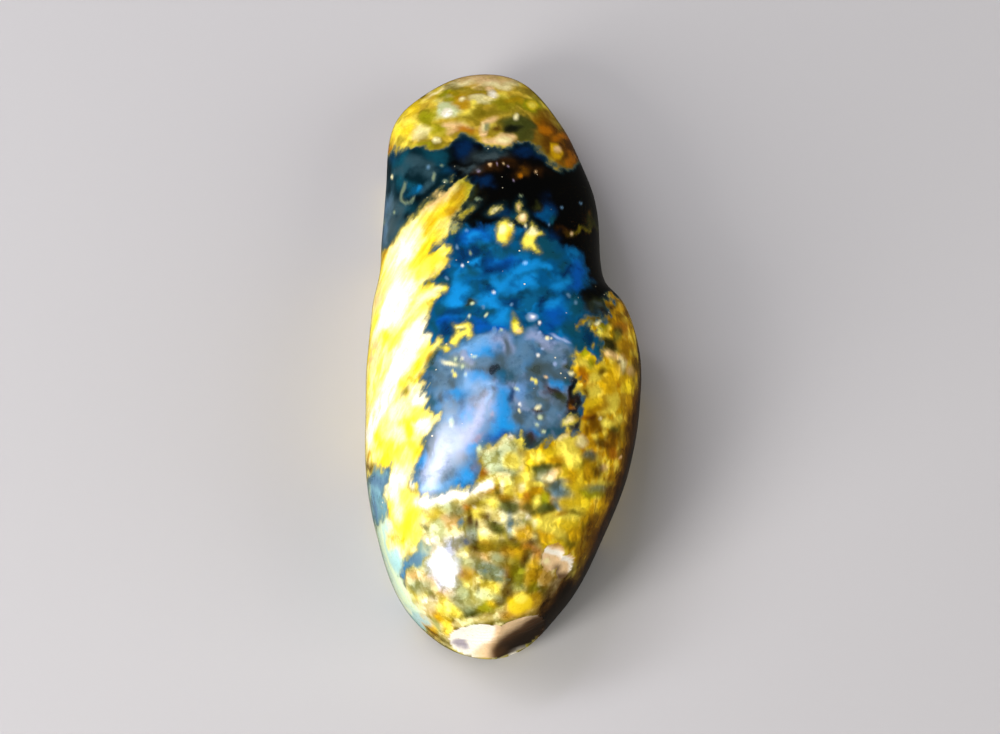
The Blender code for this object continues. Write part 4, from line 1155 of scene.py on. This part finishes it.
# %% [markdown]
# Everything finer than the points of the mesh is left to the material, and its nodes could be
# added one at a time. They follow a few patterns though: a sum, a smooth step, a mix of two
# colours and a stored field. A short function for each keeps the rest as readable as a formula.

# %% Helpers for nodes
material = bpy.data.materials.new("polished_amber")
material.use_nodes = True
tree = material.node_tree
shader = tree.nodes["Principled BSDF"]


def node(kind, settings=None, **inputs):
    """Adds a node, sets its own settings, then its inputs: a socket is linked, a value is set.
    An input's name is the socket's with underlines for spaces, or its number after a single i."""
    made = tree.nodes.new(f"ShaderNode{kind}")
    for key, value in (settings or {}).items():
        setattr(made, key, value)
    for key, value in inputs.items():
        by_number = key[0] == "i" and key[1:].isdigit()
        socket = made.inputs[int(key[1:]) if by_number else key.replace("_", " ")]
        if isinstance(value, bpy.types.NodeSocket):
            tree.links.new(value, socket)
        else:
            socket.default_value = value
    return made


def maths(operation, a, b=0.0):
    """One operation of arithmetic on one or two values, each a number or a socket."""
    return node("Math", {"operation": operation}, i0=a, i1=b).outputs[0]


def step(value, low, high, start=0.0, end=1.0):
    """A smooth step from start to end as value goes from low to high, and low may be the larger."""
    settings = {"interpolation_type": "SMOOTHSTEP"}
    return node("MapRange", settings, Value=value, From_Min=low, From_Max=high,
                To_Min=start, To_Max=end).outputs[0]


def mix(share, first, second, blend="MIX"):
    """Mixes two colours by a share. With MULTIPLY the share says how much of their product is
    taken in place of the first."""
    made = node("Mix", {"data_type": "RGBA", "blend_type": blend}, i0=share)
    for socket, value in ((made.inputs[6], first), (made.inputs[7], second)):
        if isinstance(value, bpy.types.NodeSocket):
            tree.links.new(value, socket)
        else:
            socket.default_value = value
    return made.outputs[2]


def field(name, output="Fac"):
    """A stored field, as its value or as its colour."""
    return node("Attribute", {"attribute_name": name}).outputs[output]


# %% [markdown]
# A close look at the clouds shows three grains: straight fibres in the plume, wavy upright folds
# in the lobe, and lumps with darker seams in the marbled parts. Noise in squeezed coordinates
# gives the first two, with a fold's valley wherever that noise crosses its middle value, and
# cells give the third. A swirl is added to the coordinates of the folds and the cells first,
# which takes the stiffness out of them.

# %% Fine noise in the material
position = node("TexCoord").outputs["Object"]
in_mm = node("VectorMath", {"operation": "SCALE"}, i0=position, Scale=1 / MM).outputs[0]


def drawn_out(at, degrees, squeeze, scale, detail):
    """Noise that is drawn out into fibres: its coordinate along a direction is divided by squeeze.
    Scale is in cells per mm, and detail says how many finer octaves are added."""
    turned = node("Mapping", Vector=at, Rotation=(0, 0, -np.radians(degrees))).outputs[0]
    squeezed = node("Mapping", Vector=turned, Scale=(1 / squeeze, 1, 0.6)).outputs[0]
    return node("TexNoise", Vector=squeezed, Scale=scale, Detail=detail, Roughness=0.62).outputs[0]


def swirled(amount, detail):
    """The coordinates with noise times amount in mm added to each, and with finer octaves in
    that noise by detail."""
    push = node("TexNoise", Vector=in_mm, Scale=2.2, Detail=detail, Roughness=0.6).outputs["Color"]
    added = {"operation": "MULTIPLY_ADD"}
    return node("VectorMath", added, i0=push, i1=(amount, amount, amount), i2=in_mm).outputs[0]


hair = drawn_out(in_mm, PLUME_FLOW, 6, 4.5, 4.0)
fold = drawn_out(swirled(0.8, 1.0), LOBE_FLOW, 2.4, 1.25, 1.0)
crease = maths("ABSOLUTE", maths("SUBTRACT", fold, 0.5))
lumps = node("TexVoronoi", Vector=swirled(1.0, 4.0), Scale=1.6, Randomness=1.0)
lump = lumps.outputs["Distance"]
lump_kind = node("SeparateColor", Color=lumps.outputs["Color"]).outputs[0]
grain = node("TexNoise", Vector=in_mm, Scale=4.0, Detail=4.0, Roughness=0.6).outputs[0]
speckle = node("TexNoise", Vector=in_mm, Scale=9.0, Detail=3.0, Roughness=0.7).outputs[0]
billow = node("TexNoise", Vector=in_mm, Scale=1.6, Detail=5.0, Roughness=0.6).outputs[0]

# %% [markdown]
# A cloud's edge is the stored distance with fine noise added, cut off by a steep step. Inside,
# each grain darkens the painted colour in its valleys and brightens it on its ridges, and a fine
# pepper of light and dark goes over all. On the folds, that darkening and brightening is painted
# shade and painted light, which give them relief, while the fibres, the seams and the pale lumps
# are the cloud's own colour. The clear resin gets soft billows and specks of dust, which are
# partly painted glints. Shades are multiplied on, so that a shadow keeps the hue of the colour
# under it.

# %% Cloud edge and colours
VALLEY_SHADE_AND_DARK_GRAIN = (0.42, 0.36, 0.12, 1)  # these six multiply the colour under them
RIDGE_LIGHT_AND_PALE_LUMPS = (1.35, 1.4, 1.6, 1)
LIGHT_PEPPER = (1.3, 1.3, 1.4, 1)
DARK_PEPPER = (0.66, 0.6, 0.35, 1)
IN_DEEP_RESIN = (0.15, 0.3, 0.4, 1)
BRIGHT_SPECKLE = (1.8, 1.6, 1.5, 1)
DUST_AND_GLINT = (0.75, 0.68, 0.45, 1)  # and this one replaces it

jitter = maths("ADD", maths("MULTIPLY", maths("SUBTRACT", grain, 0.5), 0.4),
               maths("MULTIPLY", maths("SUBTRACT", hair, 0.5), 0.35))
edge_distance = maths("ADD", field("cloud"), jitter)
cloudy = step(edge_distance, -0.13, 0.14)

comb_share, fold_share, marble_share = node("SeparateColor", Color=field("grains", "Color")).outputs
gap = step(lump, 0.34, 0.7, 0.0, 0.65)
dull = step(lump_kind, 0.45, 0.15, 0.0, 0.45)
bright = maths("MULTIPLY", step(lump, 0.45, 0.15), step(lump_kind, 0.5, 0.85, 0.0, 0.3))
# Painted shade in the folds' valleys.
valley_shade = maths("MAXIMUM", step(crease, 0.16, 0.0, 0.0, 0.54), step(billow, 0.47, 0.34, 0.0, 0.4))
shade = maths("ADD", maths("MULTIPLY", comb_share, step(hair, 0.60, 0.36, 0.0, 0.40)),
              maths("MULTIPLY", fold_share, valley_shade))
shade = maths("ADD", shade, maths("MULTIPLY", marble_share, maths("MAXIMUM", gap, dull)))
# Painted light on the folds' ridges, and the pale lumps of the marbling.
ridge_light_and_pale_lumps = maths("ADD", maths("MULTIPLY", fold_share, step(crease, 0.07, 0.17, 0.0, 0.75)),
             maths("MULTIPLY", marble_share, bright))
cloud_colour = field("tint", "Color")
for share, tone in (
    (shade, VALLEY_SHADE_AND_DARK_GRAIN), (ridge_light_and_pale_lumps, RIDGE_LIGHT_AND_PALE_LUMPS),
    (step(speckle, 0.55, 0.75, 0.0, 0.5), LIGHT_PEPPER),
    (step(speckle, 0.46, 0.28, 0.0, 0.6), DARK_PEPPER),
):
    cloud_colour = mix(share, cloud_colour, tone, "MULTIPLY")
clear_colour = field("ground", "Color")
for share, tone in (
    (step(billow, 0.5, 0.3, 0.0, 0.5), IN_DEEP_RESIN),
    (step(speckle, 0.55, 0.75, 0.0, 0.3), BRIGHT_SPECKLE),
):
    clear_colour = mix(share, clear_colour, tone, "MULTIPLY")
# Pale gold specks in the clear resin: dust, and painted glints where they catch the light.
dust_and_glint_cells = node("TexVoronoi", Vector=in_mm, Scale=1.5, Randomness=1.0)
dust_and_glints = maths("MULTIPLY", step(dust_and_glint_cells.outputs["Distance"], 0.09, 0.05), step(billow, 0.5, 0.56))
clear_colour = mix(dust_and_glints, clear_colour, DUST_AND_GLINT)
colour = mix(cloudy, clear_colour, cloud_colour)

# %% [markdown]
# Light goes in where the resin is clear and comes back off the clouds, so the cloud's share also
# says how much light is let through. What gets in is absorbed on its way, blue first, which is
# what makes thick amber brown. The polish is smooth with the faintest dents, as a hand-polished
# stone has, and only the chips are dull.

# %% Put the shader together
AMBER_IOR = 1.54
PASSED = (0.9, 0.6, 0.15, 1)  # a colour is absorbed by what it lacks to 1, so blue the most
ABSORPTION = 300.0  # per metre, of a colour that is 0
POLISHED = 0.10  # roughness
BROKEN = 0.5
DENT_DEPTH = 0.00002  # metres

through = maths("MULTIPLY", maths("MULTIPLY", field("clear"), maths("SUBTRACT", 1.0, cloudy)),
                maths("SUBTRACT", 1.0, dust_and_glints))
roughness = step(field("frost"), 0.2, 0.9, POLISHED, BROKEN)
dents = node("Bump", Strength=0.25, Distance=DENT_DEPTH, Height=speckle).outputs[0]
for name, value in (("Base Color", colour), ("Transmission Weight", through),
                    ("Roughness", roughness), ("Normal", dents)):
    tree.links.new(value, shader.inputs[name])
shader.inputs["IOR"].default_value = AMBER_IOR
absorb = node("VolumeAbsorption", Color=PASSED, Density=ABSORPTION)
output = tree.nodes["Material Output"]
tree.links.new(absorb.outputs[0], output.inputs["Volume"])
stone_mesh.materials.append(material)
print("material nodes", len(tree.nodes))

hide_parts("amber")
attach(stone, "root")

# %% [markdown]
# In the photo the stone lies on rough dark ground, which is no part of it. A plain pale floor
# just under the base takes its place, and the shadow on it shows that the stone lies flat. The
# polish would mirror so pale a floor as a bright band, so mirrors don't see it.

# %% Floor
FLOOR_COLOUR = (0.38, 0.375, 0.37, 1)
FLOOR_ROUGHNESS = 0.7


def plain_floor(half, height):
    """A square of one face, by half its side and its height in metres."""
    mesh = bpy.data.meshes.new("floor")
    corners = [(x, y, height) for x, y in ((-half, -half), (half, -half), (half, half), (-half, half))]
    mesh.from_pydata(corners, [], [(0, 1, 2, 3)])
    made = bpy.data.objects.new("floor", mesh)
    bpy.context.collection.objects.link(made)
    paint = bpy.data.materials.new("floor")
    paint.use_nodes = True
    sockets = paint.node_tree.nodes["Principled BSDF"].inputs
    sockets["Base Color"].default_value = FLOOR_COLOUR
    sockets["Roughness"].default_value = FLOOR_ROUGHNESS
    mesh.materials.append(paint)
    made.visible_glossy = False
    return made


plain_floor(3.0, -0.05 * MM)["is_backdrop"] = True

# %% [markdown]
# The photo is lit from the left, and its reflections say where the lights are. The key, a soft box
# low at the left, is the bright spot at the near end, and a rosier one round it is its halo. The
# lilac sheen over the haze, its bright core and the faint streak beside it are narrow boxes
# further back. A top light and a fill soften the shade, and the polish doesn't mirror those two.

# %% Lights
from mathutils import Matrix, Vector


def soft_box(name, direction, distance, size, power, colour, lean=(0, 0, 1), shine=True):
    """An area light, distance m away in a direction from the stone and facing it. Its longer side
    leans along a given direction. Where shine is off, the polish doesn't mirror it."""
    light = bpy.data.lights.new(name, "AREA")
    light.shape = "RECTANGLE"
    light.size, light.size_y = size
    light.energy = power
    light.color = colour
    made = bpy.data.objects.new(name, light)
    bpy.context.collection.objects.link(made)
    toward = Vector(direction).normalized()
    side = Vector(lean).cross(toward).normalized()
    made.matrix_world = Matrix((side, toward.cross(side), toward)).transposed().to_4x4()
    made.location = toward * distance
    made.visible_glossy = shine


soft_box("key", (-0.730, -0.549, 0.407), 0.30, (0.105, 0.145), 0.95, (1.0, 0.98, 0.95),
         lean=(-0.18, -0.37, -0.91))
soft_box("halo", (-0.740, -0.565, 0.365), 0.30, (0.165, 0.185), 0.22, (1.0, 0.86, 1.0),
         lean=(-0.17, -0.32, -0.93))
soft_box("sheen", (-0.65, 0.209, 0.731), 0.40, (0.080, 0.31), 0.80, (0.90, 0.90, 1.0),
         lean=(0.69, 0.57, 0.45))
soft_box("core", (-0.624, 0.217, 0.751), 0.40, (0.060, 0.19), 0.22, (0.95, 0.94, 1.0),
         lean=(0.69, 0.61, 0.40))
soft_box("glint", (-0.26, 0.389, 0.884), 0.40, (0.030, 0.18), 0.30, (0.84, 0.80, 1.0),
         lean=(0.83, 0.56, 0.0))
soft_box("top", (-0.45, -0.35, 0.80), 0.40, (0.30, 0.30), 0.60, (1.0, 0.99, 0.97), shine=False)
soft_box("fill", (0.85, -0.30, 0.46), 0.40, (0.30, 0.30), 1.20, (1.0, 0.97, 0.92), shine=False)

WORLD_COLOUR = (1.0, 0.95, 0.88, 1)
WORLD_STRENGTH = 0.035

world = bpy.data.worlds.new("studio")
world.use_nodes = True
background = world.node_tree.nodes["Background"].inputs
background["Color"].default_value = WORLD_COLOUR
background["Strength"].default_value = WORLD_STRENGTH
bpy.context.scene.world = world
bpy.context.scene.view_settings.view_transform = "Standard"

# %% [markdown]
# The photo looks down at the stone at 66 degrees, with its near end towards the camera. The
# distance and the lens are the pair that makes the far end as narrow as it looks there. The
# camera is placed by a point to aim at, because that point is the middle of the picture.

# %% Camera
CAMERA_DISTANCE = 0.130
SENSOR_WIDTH = 36  # mm
FOCAL_LENGTH = 90.8  # mm
NEAREST_SEEN = 0.001  # metres
AIM = Vector((-0.15, -0.945, 2.5)) * MM

camera = bpy.data.objects.new("camera", bpy.data.cameras.new("camera"))
bpy.context.collection.objects.link(camera)
back = Vector((0, -np.cos(SIGHT), np.sin(SIGHT)))
camera.location = AIM + back * CAMERA_DISTANCE
camera.rotation_euler = back.to_track_quat("Z", "Y").to_euler()
camera.data.sensor_width = SENSOR_WIDTH
camera.data.lens = FOCAL_LENGTH
camera.data.clip_start = NEAREST_SEEN
bpy.context.scene.camera = camera

# %% [markdown]
# The visual stone has to keep to the box of the solid. The solid's box is printed near the top,
# and the box of everything shown is printed here, so that the two can be compared.

low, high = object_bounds()
print("visual model in mm", [round((b - a) / MM, 3) for a, b in zip(low, high)])
